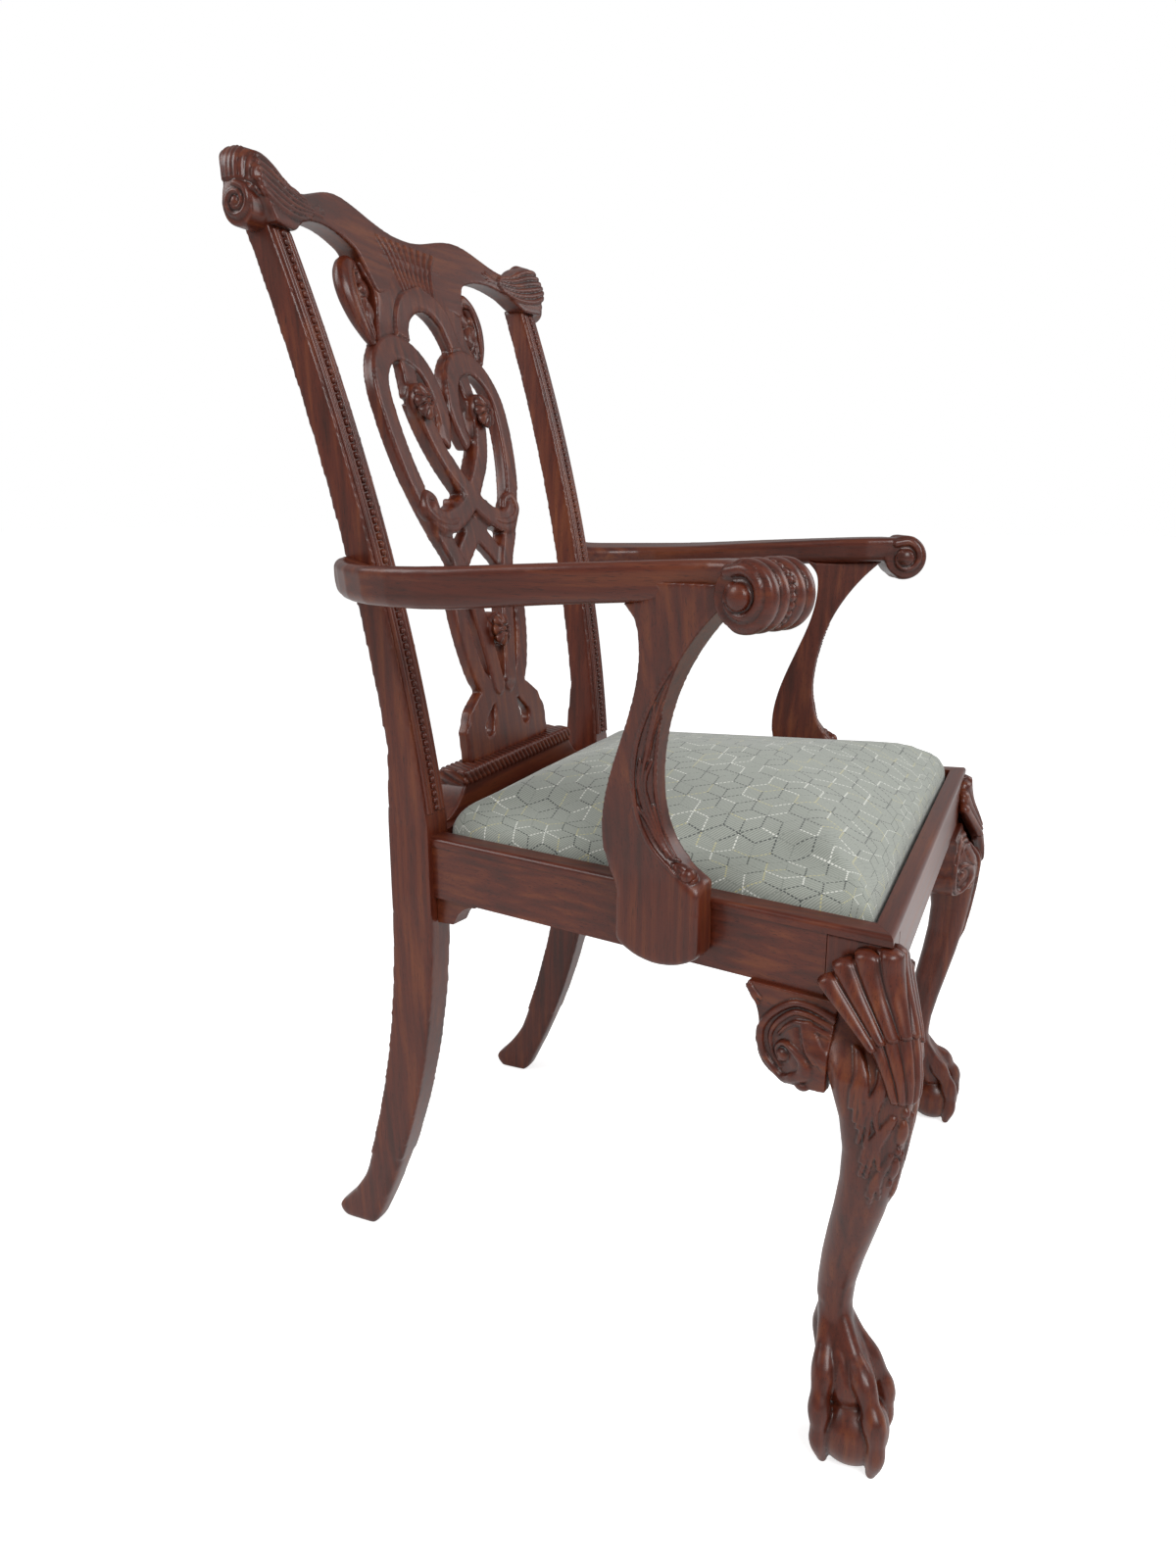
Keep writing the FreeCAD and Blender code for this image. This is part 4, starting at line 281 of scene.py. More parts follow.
@dataclass(frozen=True)
class ScrewSteel:
    """Drawn steel of the wood screws, dulled by handling: the eye sees grey metal with soft blotches."""

    dull: str = "6E6A66"
    bright: str = "A5A19B"
    blotch: float = 10 / 9
    roughness: float = 0.38

    def material(self) -> bpy.types.Material:
        """Make the material.

        Returns:
            The finish.
        """
        material, tree = new_material("drawn_steel")
        place = add_node(tree, "ShaderNodeTexCoord").outputs["Object"]
        noise = add_node(tree, "ShaderNodeTexNoise", {"Scale": 1 / (self.blotch * MM), "Detail": 2.0},
                         {"Vector": place})
        tint = add_node(tree, "ShaderNodeValToRGB", {"ramp": [(0.3, self.dull), (0.7, self.bright)]},
                        {0: noise.outputs[0]})
        add_shader(tree, {"Metallic": 1.0, "Roughness": self.roughness}, {"Base Color": tint.outputs[0]})
        return material


@dataclass(frozen=True)
class WovenCloth:
    """Plain woven jute or cotton: two sets of threads that pass over and under each other.

    The eye sees a matt grid of small raised crossings. The lining's threads are drawn wider than
    real ones, so that they show.
    """

    name: str
    thread: str
    shade: str
    spacing: float
    roughness: float = 0.9

    def material(self) -> bpy.types.Material:
        """Make the material.

        Returns:
            The finish.
        """
        material, tree = new_material(self.name)
        place = add_node(tree, "ShaderNodeTexCoord").outputs["Object"]
        scale = 1 / (self.spacing * MM * WAVE_REPEATS)
        bands = [add_node(tree, "ShaderNodeTexWave",
                          {"bands_direction": direction, "Scale": scale, "Distortion": 0.6},
                          {"Vector": place}).outputs["Fac"] for direction in ("X", "Y")]
        weave = add_node(tree, "ShaderNodeMath", {"operation": "MULTIPLY"},
                         {0: bands[0], 1: bands[1]}).outputs[0]
        tint = add_node(tree, "ShaderNodeValToRGB", {"ramp": [(0.1, self.shade), (0.7, self.thread)]},
                        {0: weave})
        bump = add_node(tree, "ShaderNodeBump", {"Strength": 0.5, "Distance": 0.4 * MM}, {"Height": weave})
        add_shader(tree, {"Roughness": self.roughness},
                   {"Base Color": tint.outputs[0], "Normal": bump.outputs[0]})
        return material


@dataclass(frozen=True)
class SeatFabric:
    """Jacquard upholstery cloth, a fine grey-green rib with a lattice of stitched dashes.

    The ground is a matt rib of two close greens. Short floats of white, charcoal and pale yellow
    yarn lie along the sides of a lattice of leaning diamonds, so the eye sees broken cubes. The
    stitches are drawn longer than real ones of about 2.2 mm, so that they show.
    """

    ground: str = "A3A79E"
    rib: str = "868B83"
    charcoal: str = "4A4E4C"
    white: str = "DADBD3"
    yellow: str = "B9B48B"
    rib_width: float = 1.6
    haze_size: float = 10 / 7
    side: float = 18.0
    dash: float = 1.3
    stitch: float = 3.6
    sewn_share: float = 0.64
    turns: tuple[float, ...] = (0, 60, 120)
    roughness: float = 0.92
    sheen: float = 0.25

    def material(self) -> bpy.types.Material:
        """Make the material, drawn on the cushion's own cloth coordinates.

        Returns:
            The finish.
        """
        material, tree = new_material("jacquard_cloth")
        place = add_node(tree, "ShaderNodeUVMap", {"uv_map": "cloth"}).outputs[0]
        ribs = add_node(tree, "ShaderNodeTexWave",
                        {"bands_direction": "DIAGONAL", "Scale": 1 / (self.rib_width * MM * WAVE_REPEATS)},
                        {"Vector": place}).outputs["Fac"]
        haze = add_node(tree, "ShaderNodeTexNoise", {"Scale": 1 / (self.haze_size * MM), "Detail": 2.0},
                        {"Vector": place}).outputs[0]
        height = add_node(tree, "ShaderNodeMath", {"operation": "MULTIPLY"}, {0: ribs, 1: haze}).outputs[0]
        colour = add_node(tree, "ShaderNodeValToRGB", {"ramp": [(0.05, self.rib), (0.45, self.ground)]},
                          {0: height}).outputs[0]
        yarns = [(0.0, self.charcoal), (0.42, self.white), (0.66, self.yellow), (0.82, self.rib)]
        for turn in self.turns:
            line, pick = self._lattice_lines(tree, place, turn)
            yarn = add_node(tree, "ShaderNodeValToRGB", {"ramp": yarns}, {0: pick})
            yarn.color_ramp.interpolation = "CONSTANT"
            colour = add_node(tree, "ShaderNodeMix", {"data_type": "RGBA"},
                              {0: line, 6: colour, 7: yarn.outputs[0]}).outputs[2]
            height = add_node(tree, "ShaderNodeMath", {"operation": "MAXIMUM"},
                              {0: height, 1: line}).outputs[0]
        bump = add_node(tree, "ShaderNodeBump", {"Strength": 0.35, "Distance": 0.4 * MM}, {"Height": height})
        add_shader(tree, {"Roughness": self.roughness, "Sheen Weight": self.sheen},
                   {"Base Color": colour, "Normal": bump.outputs[0]})
        return material

    def _lattice_lines(self, tree: bpy.types.NodeTree, place: bpy.types.NodeSocket,
                       turn: float) -> tuple[bpy.types.NodeSocket, bpy.types.NodeSocket]:
        """Stitched lines of one of the lattice's three directions.

        Args:
            tree: Tree that gets the nodes.
            place: Cloth coordinates in metres.
            turn: Direction of the lines in degrees.

        Returns:
            One on a stitch and nought elsewhere, and a random pick for each side of the lattice.
        """
        row = self.side * math.sqrt(0.75)
        turned = add_node(tree, "ShaderNodeMapping",
                          {"vector_type": "POINT", "Rotation": (0.0, 0.0, math.radians(turn)),
                           "Scale": (1 / MM, 1 / MM, 1.0)}, {"Vector": place})
        split = add_node(tree, "ShaderNodeSeparateXYZ", links={0: turned.outputs[0]})
        rows = add_node(tree, "ShaderNodeMath", {"operation": "DIVIDE", 1: row}, {0: split.outputs[1]})
        index = add_node(tree, "ShaderNodeMath", {"operation": "ROUND"}, {0: rows.outputs[0]})
        apart = add_node(tree, "ShaderNodeMath", {"operation": "SUBTRACT"},
                         {0: rows.outputs[0], 1: index.outputs[0]})
        gap = add_node(tree, "ShaderNodeMath", {"operation": "ABSOLUTE"}, {0: apart.outputs[0]})
        near = add_node(tree, "ShaderNodeMath", {"operation": "LESS_THAN", 1: self.dash / 2 / row},
                        {0: gap.outputs[0]})
        shift = add_node(tree, "ShaderNodeMath", {"operation": "MULTIPLY_ADD", 1: 0.5 * self.side},
                         {0: index.outputs[0], 2: split.outputs[0]})
        along = add_node(tree, "ShaderNodeMath", {"operation": "DIVIDE", 1: self.side}, {0: shift.outputs[0]})
        cell = add_node(tree, "ShaderNodeMath", {"operation": "FLOOR"}, {0: along.outputs[0]})
        key = add_node(tree, "ShaderNodeCombineXYZ", {2: turn + 0.5},
                       {0: cell.outputs[0], 1: index.outputs[0]})
        pick = add_node(tree, "ShaderNodeTexWhiteNoise", links={"Vector": key.outputs[0]})
        third = add_node(tree, "ShaderNodeMath", {"operation": "ADD"},
                         {0: cell.outputs[0], 1: index.outputs[0]})
        corner = add_node(tree, "ShaderNodeMath", {"operation": "FLOORED_MODULO", 1: 3.0},
                          {0: third.outputs[0]})
        skip = add_node(tree, "ShaderNodeMath", {"operation": "COMPARE", 1: 1.0, 2: 0.2},
                        {0: corner.outputs[0]})
        keep = add_node(tree, "ShaderNodeMath", {"operation": "SUBTRACT", 0: 1.0}, {1: skip.outputs[0]})
        count = add_node(tree, "ShaderNodeMath", {"operation": "DIVIDE", 1: self.stitch},
                         {0: split.outputs[0]})
        beat = add_node(tree, "ShaderNodeMath", {"operation": "FRACT"}, {0: count.outputs[0]})
        sewn = add_node(tree, "ShaderNodeMath", {"operation": "LESS_THAN", 1: self.sewn_share},
                        {0: beat.outputs[0]})
        first = add_node(tree, "ShaderNodeMath", {"operation": "MULTIPLY"},
                         {0: near.outputs[0], 1: sewn.outputs[0]})
        line = add_node(tree, "ShaderNodeMath", {"operation": "MULTIPLY"},
                        {0: first.outputs[0], 1: keep.outputs[0]})
        return line.outputs[0], pick.outputs["Value"]


# Mesh tools


def piece_from(mesh: bpy.types.Mesh, name: str) -> bpy.types.Object:
    """Put a mesh into the scene as a piece at the origin.

    Args:
        mesh: Mesh of the piece.
        name: Name of the piece.

    Returns:
        The piece.
    """
    piece = bpy.data.objects.new(name, mesh)
    bpy.context.scene.collection.objects.link(piece)
    return piece


def piece_of(shell: bmesh.types.BMesh, name: str) -> bpy.types.Object:
    """Turn a bmesh into a smooth piece and free it.

    Args:
        shell: Finished bmesh.
        name: Name of the piece.

    Returns:
        The piece.
    """
    mesh = bpy.data.meshes.new(name)
    shell.to_mesh(mesh)
    shell.free()
    mesh.shade_smooth()
    return piece_from(mesh, name)


def merged_mesh(node: str, name: str) -> bpy.types.Mesh:
    """Copy a CAD node's mesh with its triangles joined and its flats made whole.

    Args:
        node: Name of the CAD node.
        name: Name of the copy.

    Returns:
        The joined copy.
    """
    mesh = bpy.data.meshes.new(name)
    shell = bmesh.new()
    shell.from_mesh(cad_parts[node].data)
    bmesh.ops.remove_doubles(shell, verts=shell.verts, dist=0.004 * MM)
    bmesh.ops.dissolve_limit(shell, angle_limit=math.radians(0.6), verts=shell.verts, edges=shell.edges)
    bmesh.ops.recalc_face_normals(shell, faces=shell.faces)
    shell.to_mesh(mesh)
    shell.free()
    return mesh


def apply_modifiers(piece: bpy.types.Object) -> None:
    """Bake a piece's modifiers into its mesh.

    Args:
        piece: Piece with modifiers.
    """
    graph = bpy.context.evaluated_depsgraph_get()
    mesh = bpy.data.meshes.new_from_object(piece.evaluated_get(graph))
    piece.modifiers.clear()
    piece.data = mesh


def dense_copy(node: str, voxel: float, smoothing: int) -> bpy.types.Object:
    """Copy a CAD node as one even skin that can be carved.

    Args:
        node: Name of the CAD node.
        voxel: Size of the skin's faces.
        smoothing: Rounds of smoothing that take off the steps of the remesh.

    Returns:
        The piece, named for its node.
    """
    piece = piece_from(merged_mesh(node, node + "_wood"), node + "_wood")
    reskin(piece, voxel, smoothing)
    return piece


def reskin(piece: bpy.types.Object, voxel: float, smoothing: int = 0) -> None:
    """Give a piece one even skin.

    Args:
        piece: Piece of closed shells, which are joined.
        voxel: Size of the skin's faces.
        smoothing: Rounds of smoothing that take off the steps of the remesh.
    """
    remesh = piece.modifiers.new("skin", "REMESH")
    remesh.mode = "VOXEL"
    remesh.voxel_size = voxel * MM
    apply_modifiers(piece)
    if smoothing:
        soften(piece, np.ones(len(piece.data.vertices), dtype=bool), smoothing)


def string_balls(shell: bmesh.types.BMesh, path: Path) -> None:
    """Grow a round limb as a string of balls, which a new skin then joins.

    Args:
        shell: Mesh that gets the balls.
        path: Places that the limb passes, each with its radius.
    """
    for x, y, z, radius in smooth_path(path, 10):
        bmesh.ops.create_icosphere(shell, subdivisions=2, radius=radius * MM,
                                   matrix=Matrix.Translation(Vector((x, y, z)) * MM))


def soften(piece: bpy.types.Object, chosen: np.ndarray, rounds: int) -> None:
    """Round part of a piece's skin off.

    Args:
        piece: Piece with an even skin.
        chosen: Whether each vertex is taken.
        rounds: Rounds of smoothing.
    """
    shell = bmesh.new()
    shell.from_mesh(piece.data)
    taken = [vertex for vertex, wanted in zip(shell.verts, chosen) if wanted]
    for _ in range(rounds):
        bmesh.ops.smooth_vert(shell, verts=taken, factor=0.5,
                              use_axis_x=True, use_axis_y=True, use_axis_z=True)
    shell.to_mesh(piece.data)
    shell.free()


def read_points(piece: bpy.types.Object) -> tuple[np.ndarray, np.ndarray]:
    """Read a piece's vertices and their normals.

    Args:
        piece: Mesh piece at the origin.

    Returns:
        Points in millimetres and unit normals, one row each.
    """
    count = len(piece.data.vertices)
    points = np.empty(count * 3)
    piece.data.vertices.foreach_get("co", points)
    normals = np.empty(count * 3)
    piece.data.vertices.foreach_get("normal", normals)
    return points.reshape(-1, 3) / MM, normals.reshape(-1, 3)


def write_points(piece: bpy.types.Object, points: np.ndarray) -> None:
    """Write a piece's vertices back.

    Args:
        piece: Mesh piece at the origin.
        points: Points in millimetres, one row each.
    """
    piece.data.vertices.foreach_set("co", (points * MM).ravel())
    piece.data.update()


def mirrored_piece(piece: bpy.types.Object, name: str) -> bpy.types.Object:
    """Copy a left piece to the right side.

    Args:
        piece: Finished left piece.
        name: Name of the copy.

    Returns:
        The right piece, its faces outward.
    """
    mesh = piece.data.copy()
    mesh.transform(Matrix.Scale(-1, 4, Vector((1, 0, 0))))
    mesh.flip_normals()
    return piece_from(mesh, name)


def soften_edges(piece: bpy.types.Object, width: float) -> None:
    """Round a piece's sharp edges as scraping and wear do.

    Args:
        piece: Piece with whole flats.
        width: Width of the rounding.
    """
    bevel = piece.modifiers.new("worn_edges", "BEVEL")
    bevel.width = width * MM
    bevel.segments = 2
    bevel.limit_method = "ANGLE"
    bevel.angle_limit = SHARP
    bevel.harden_normals = True


def dress(piece: bpy.types.Object, material: bpy.types.Material, body: Body, slot: str,
          *nodes: str) -> None:
    """Give a piece its finish and its body, and hide the CAD nodes that it replaces.

    Args:
        piece: Finished piece.
        material: Its finish.
        body: Body that carries it.
        slot: Not used.
        nodes: CAD nodes that the piece replaces.
    """
    piece.data.materials.clear()
    piece.data.materials.append(material)
    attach(piece, body.value)
    if nodes:
        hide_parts(*nodes)
    LOG.info("%s: %d faces", piece.name, len(piece.data.polygons))


def dress_wood(piece: bpy.types.Object, finish: Mahogany, *nodes: str) -> None:
    """Dress a piece of the frame in its mahogany."""
    dress(piece, finish.material(), Body.FRAME, "mahogany", *nodes)


def dress_pair(left: bpy.types.Object, finish: Mahogany, *nodes: str) -> None:
    """Mirror a left piece of the frame and dress it and its twin.

    Args:
        left: Finished left piece.
        finish: Finish of both.
        nodes: CAD nodes that the left piece replaces.
    """
    twin = mirrored_piece(left, left.name.replace("left", "right"))
    dress_wood(left, finish, *nodes)
    dress_wood(twin, finish, *(node.replace("left", "right") for node in nodes))


# Carving


def smooth_path(path: Path, steps: int = 8) -> np.ndarray:
    """Points along a smooth curve through a few given ones.

    Args:
        path: Points that the curve passes, of any number of values.
        steps: Points for each stretch.

    Returns:
        The curve's points, one row each.
    """
    given = np.array(path, dtype=float)
    ends = np.vstack([2 * given[0] - given[1], given, 2 * given[-1] - given[-2]])
    rows = []
    for first in range(len(ends) - 3):
        a, b, c, d = ends[first:first + 4]
        for t in np.arange(steps) / steps:
            rows.append(0.5 * (2 * b + (c - a) * t + (2 * a - 5 * b + 4 * c - d) * t ** 2
                               + (3 * b - a - 3 * c + d) * t ** 3))
    rows.append(given[-1])
    return np.array(rows)


def flutes(place: np.ndarray) -> np.ndarray:
    """Rounded ribs, one to each whole step of a coordinate: nought between them, one on their backs."""
    offset = 2 * (place - np.round(place))
    return np.sqrt(np.clip(1 - offset * offset, 0, 1))


def soft_step(place: np.ndarray) -> np.ndarray:
    """Smooth rise from nought to one between nought and one."""
    share = np.clip(place, 0, 1)
    return share * share * (3 - 2 * share)


def facing_front(normals: np.ndarray) -> np.ndarray:
    """How far each vertex faces the front: one on a front face, nought on the sides and the back."""
    return np.clip((-normals[:, 1] - 0.1) * 3, 0, 1)


class Carver:
    """Relief cut with strands, beads and scrolls on a pair of surface coordinates."""

    def __init__(self, u: np.ndarray, v: np.ndarray) -> None:
        """Start with a plain surface.

        Args:
            u: First surface coordinate of each vertex.
            v: Second surface coordinate of each vertex.
        """
        self.u = u
        self.v = v
        self.height = np.zeros(len(u))

    def strand(self, path: Path, widths: tuple[float, float, float], height: float,
               shoulder: float = 1.0) -> None:
        """Cut one strand.

        Args:
            path: Points that it passes.
            widths: Its half widths at the start, the middle and the end.
            height: Height of its back.
            shoulder: Share of its half width that is rounded; a small one leaves a flat strap.
        """
        line = smooth_path(path)
        margin = max(widths)
        low = line.min(axis=0) - margin
        high = line.max(axis=0) + margin
        inside = (self.u > low[0]) & (self.u < high[0]) & (self.v > low[1]) & (self.v < high[1])
        near = np.nonzero(inside)[0]
        u = self.u[near]
        v = self.v[near]
        best = np.zeros(len(near))
        for step, (start, end) in enumerate(zip(line[:-1], line[1:])):
            run = end - start
            share = np.clip(((u - start[0]) * run[0] + (v - start[1]) * run[1]) / (run @ run), 0, 1)
            far = np.hypot(u - start[0] - share * run[0], v - start[1] - share * run[1])
            half = np.interp((step + share) / (len(line) - 1), (0, 0.5, 1), widths)
            fall = np.maximum(0, (far / half - 1 + shoulder) / shoulder)
            best = np.maximum(best, np.sqrt(np.clip(1 - fall ** 2, 0, 1)))
        self.height[near] = np.maximum(self.height[near], height * best)

    def spray(self, root: tuple[float, float], tip: tuple[float, float], count: int, spread: float,
              bend: float, half_width: float, height: float) -> None:
        """Cut a leaf as a spray of strands that part towards their tips.

        Args:
            root: Where the strands start.
            tip: Where the middle strand ends.
            count: Number of strands.
            spread: How far the outer tips stand off the middle one.
            bend: How far the leaf bows aside.
            half_width: Half the width of a strand.
            height: Height of a strand.
        """
        start = np.array(root)
        axis = np.array(tip) - start
        aside = np.array((-axis[1], axis[0])) / np.hypot(*axis)
        for place in np.linspace(-1, 1, count):
            end = start + axis * (1 - 0.22 * place * place) + aside * spread * place
            middle = start + axis * 0.5 + aside * (bend + 0.55 * spread * place)
            foot = start + aside * 0.8 * half_width * place
            self.strand([tuple(foot), tuple(middle), tuple(end)],
                        (0.55 * half_width, half_width, 0.7 * half_width), height * (1 - 0.15 * abs(place)))

    def bead(self, middle: tuple[float, float], half: tuple[float, float], height: float) -> None:
        """Cut a bead or a husk.

        Args:
            middle: Its middle.
            half: Half its two widths.
            height: Its height.
        """
        reach = ((self.u - middle[0]) / half[0]) ** 2 + ((self.v - middle[1]) / half[1]) ** 2
        self.height = np.maximum(self.height, height * np.sqrt(np.clip(1 - reach, 0, 1)))

    def scroll(self, middle: tuple[float, float], radius: float, eye: float, turns: float, begin: float,
               hand: float, half_width: float, height: float) -> None:
        """Cut a strand that winds into a round eye.

        Args:
            middle: Middle of the eye.
            radius: Radius at which the strand starts.
            eye: Radius of the eye.
            turns: Turns of the strand.
            begin: Angle at which it starts, in turns.
            hand: One or minus one for the way in which it winds.
            half_width: Half its width at the start.
            height: Its height.
        """
        path = []
        for share in np.linspace(0, 1, max(6, round(turns * 9))):
            angle = 2 * math.pi * (begin + hand * turns * share)
            reach = radius + (eye - radius) * share ** 0.85
            path.append((middle[0] + reach * math.cos(angle), middle[1] + reach * math.sin(angle)))
        self.strand(path, (half_width, 0.8 * half_width, 0.55 * half_width), height)
        self.bead(middle, (eye, eye), 1.2 * height)


def carve(piece: bpy.types.Object, relief: np.ndarray) -> None:
    """Raise a piece's skin along its normals.

    Args:
        piece: Piece with an even skin.
        relief: Height at each vertex.
    """
    points, normals = read_points(piece)
    write_points(piece, points + normals * relief[:, None])


# Sub-assemblies


@dataclass(frozen=True)
class RailFace:
    """Outer face of a seat rail beside the front left leg: the ways along it and out of it."""

    along: tuple[float, float]
    out: tuple[float, float]

    def measure(self, points: np.ndarray) -> tuple[np.ndarray, np.ndarray]:
        """Measure points from the rails' corner.

        Args:
            points: Points, one row each.

        Returns:
            Their distances along the face and out of it.
        """
        flat = points[:, :2] - np.array(CORNER)
        return flat @ np.array(self.along), flat @ np.array(self.out)


SIDE_FACE = RailFace((-0.1713, 0.9852), (0.9852, 0.1713))
FRONT_FACE = RailFace((-1.0, 0.0), (0.0, -1.0))


@dataclass(frozen=True)
class ShellTier:
    """One tier of the knee's shell, a fan of round flutes.

    Attributes:
        name: Name of the left piece.
        count: Number of flutes.
        spread: Half the angle of the fan in degrees.
        focus: Height from which the flutes part.
        ends: Reach of the middle flute's lower and upper end.
        falls: How much less the outer flutes reach at each end.
        rise: Height of a flute.
        lift: How far the grooves stand off the knee.
        round_foot: Whether the lower end is rounded.
    """

    name: str
    count: int
    spread: float
    focus: float
    ends: tuple[float, float]
    falls: tuple[float, float]
    rise: float
    lift: float
    round_foot: bool


@dataclass
class FrontLegs:
    """Cabriole legs with a fluted shell on the knee, leaves down the shin and claws on a ball.

    Places in the foot are aside of the leg's diagonal, out along it and up, with a radius.
    """

    voxel: float = 1.15
    cut: float = 122.0
    ankle_band: tuple[float, float] = (92.0, 136.0)
    ball: tuple[float, float, float, float] = (0.0, -4.95, 27.0, 29.0)
    ankle: Path = (
        (0, -37.5, 130, 14.2), (0, -35, 106, 14.6), (0, -28, 89, 17), (0, -18, 74, 20), (0, -11, 62, 21))
    front_toe: Path = (
        (0, -33, 122, 5), (0, -22, 102, 8), (0, -9, 87, 8.2), (0, 5, 75, 10.4), (0, 15, 62, 8),
        (0, 22, 50, 10), (0, 26, 36, 7.2), (0, 26, 22, 7.4), (0, 22, 5, 4.2))
    side_toe: Path = (
        (5, -38, 122, 5), (9, -33, 104, 7.5), (15, -25, 88, 8), (21, -17, 74, 10), (27, -11, 61, 7.8),
        (30, -7, 49, 9.4), (31, -5, 36, 7), (31, -5, 22, 7.2), (26, -5, 5, 4.2))
    back_toe: Path = (
        (0, -42, 122, 6), (0, -47, 102, 8.6), (0, -49, 84, 10), (0, -46, 64, 8.4), (0, -43, 46, 9.4),
        (0, -40, 26, 7.4), (0, -35, 5, 4.6))
    rail_foot: float = 384.5
    knee_start: float = 334.0
    knee_run: float = 43.0
    knee_heights: tuple[float, ...] = (310, 330, 340, 350, 360, 370, 383)
    knee_reaches: tuple[float, ...] = (32.6, 34.5, 33.5, 32.5, 30.2, 25.9, 21.6)
    knee_seam: tuple[float, float] = (364.0, 394.0)
    cheek_low: float = 320.0
    cheek_heights: tuple[float, ...] = (310, 330, 345, 352, 360, 367, 374, 383)
    cheek_stands: tuple[float, ...] = (21.5, 22.5, 20.5, 17, 12, 8, 4.5, 2)
    leaf_span: tuple[float, float] = (228.0, 376.0)
    leaf_sprays: tuple[tuple, ...] = (
        ((27, 356), (34, 306), 4, 8, 5, 2.3, 3.4), ((16, 346), (29, 288), 4, 8, 5, 2.2, 3.2),
        ((10, 316), (23, 260), 4, 7, 4, 2.1, 3.0), ((6, 284), (13, 232), 3, 4.5, 3, 2.0, 2.6))
    husks: tuple[tuple, ...] = (
        ((0, 320), (4.2, 4.2), 3.6), ((0, 303), (6.5, 11), 4.2), ((0, 287), (3.6, 3.6), 3.2),
        ((0, 271), (5.6, 10), 3.8), ((0, 257), (2.8, 3.2), 2.6))
    tiers: tuple[ShellTier, ...] = (
        ShellTier("knee_shell_upper_left", 7, 36.0, 328.0, (46.0, 103.0), (6.0, 16.0), 4.6, 2.2, False),
        ShellTier("knee_shell_lower_left", 5, 17.5, 290.0, (37.0, 89.0), (-3.0, 4.0), 3.4, 1.0, True))
    shell_heights: tuple[float, ...] = (326, 345, 360, 372, 386, 400, 415, 432)
    shell_reaches: tuple[float, ...] = (36, 35, 31.5, 27, 20, 13, 7.5, 4)
    shell_rounds: tuple[float, ...] = (13, 14, 15, 15, 13, 11, 8, 6)
    shell_valley: float = 4.0
    shell_tip: float = 0.07
    shell_foot: float = 0.22
    shell_heart: float = -34.0
    shell_depth: float = 9.0

    def build(self) -> None:
        """Carve the left leg and its shell and mirror them."""
        finish = Mahogany(Grain.UP, carved=True)
        leg = self.leg()
        tiers = [self.tier(tier) for tier in self.tiers]
        dress_pair(leg, finish, "front_leg_left")
        for tier in tiers:
            dress_pair(tier, finish)

    def spot(self, aside: float, out: float, height: float) -> Vector:
        """Find a place by the leg's diagonal.

        Args:
            aside: Distance aside of the diagonal.
            out: Distance out along it.
            height: Height.

        Returns:
            The point in metres.
        """
        x = CORNER[0] + (aside + out) * DIAGONAL
        return Vector((x, CORNER[1] + (aside - out) * DIAGONAL, height)) * MM

    def leg(self) -> bpy.types.Object:
        """Cut the CAD leg at the ankle, grow the foot below it and carve the knee.

        Returns:
            The left leg.
        """
        mesh = merged_mesh("front_leg_left", "front_leg_left_wood")
        shell = bmesh.new()
        shell.from_mesh(mesh)
        bmesh.ops.bisect_plane(shell, geom=shell.verts[:] + shell.edges[:] + shell.faces[:],
                               plane_co=(0, 0, self.cut * MM), plane_no=(0, 0, 1), clear_inner=True)
        bmesh.ops.holes_fill(shell, edges=[edge for edge in shell.edges if edge.is_boundary], sides=0)
        aside, out, height, radius = self.ball
        bmesh.ops.create_icosphere(shell, subdivisions=4, radius=radius * MM,
                                   matrix=Matrix.Translation(self.spot(aside, out, height)))
        other = [(-row[0], *row[1:]) for row in self.side_toe]
        for toe in (self.ankle, self.front_toe, self.side_toe, other, self.back_toe):
            string_balls(shell, [(*(self.spot(*row[:3]) / MM), row[3]) for row in toe])
        shell.to_mesh(mesh)
        shell.free()
        leg = piece_from(mesh, "front_leg_left_wood")
        reskin(leg, self.voxel, 3)
        points, _ = read_points(leg)
        soften(leg, (points[:, 2] > self.ankle_band[0]) & (points[:, 2] < self.ankle_band[1]), 14)
        self.ease_knee(leg)
        points, normals = read_points(leg)
        relief = self.leaves(points)
        facing = (normals[:, 0] - normals[:, 1]) * DIAGONAL
        carve(leg, relief * np.clip((facing - 0.1) * 4, 0, 1))
        soften(leg, relief > 0.2, 1)
        points, _ = read_points(leg)
        points[:, 2] = np.maximum(points[:, 2], 0)
        write_points(leg, points)
        leg.data.shade_smooth()
        return leg

    def ease_knee(self, leg: bpy.types.Object) -> None:
        """Let the knee swell from the rail instead of stepping out of it.

        Args:
            leg: Leg with an even skin.
        """
        points, _ = read_points(leg)
        out = (points[:, 0] - CORNER[0] - points[:, 1] + CORNER[1]) * DIAGONAL
        z = points[:, 2]
        below = z < self.rail_foot
        sharp = np.interp(z, self.knee_heights, self.knee_reaches)
        pull = soft_step((z - self.knee_start) / self.knee_run) * sharp
        pull = pull * below * np.clip((out + 45) / 40, 0, 1)
        points[:, 0] -= pull * DIAGONAL
        points[:, 1] += pull * DIAGONAL
        for face in (SIDE_FACE, FRONT_FACE):
            along, proud = face.measure(points)
            excess = np.maximum(0, proud - np.interp(z, self.cheek_heights, self.cheek_stands))
            excess = excess * soft_step((along - 22) / 14) * (z > self.cheek_low) * below
            points[:, :2] -= excess[:, None] * np.array(face.out)
        write_points(leg, points)
        soften(leg, (z > self.knee_seam[0]) & (z < self.knee_seam[1]), 10)

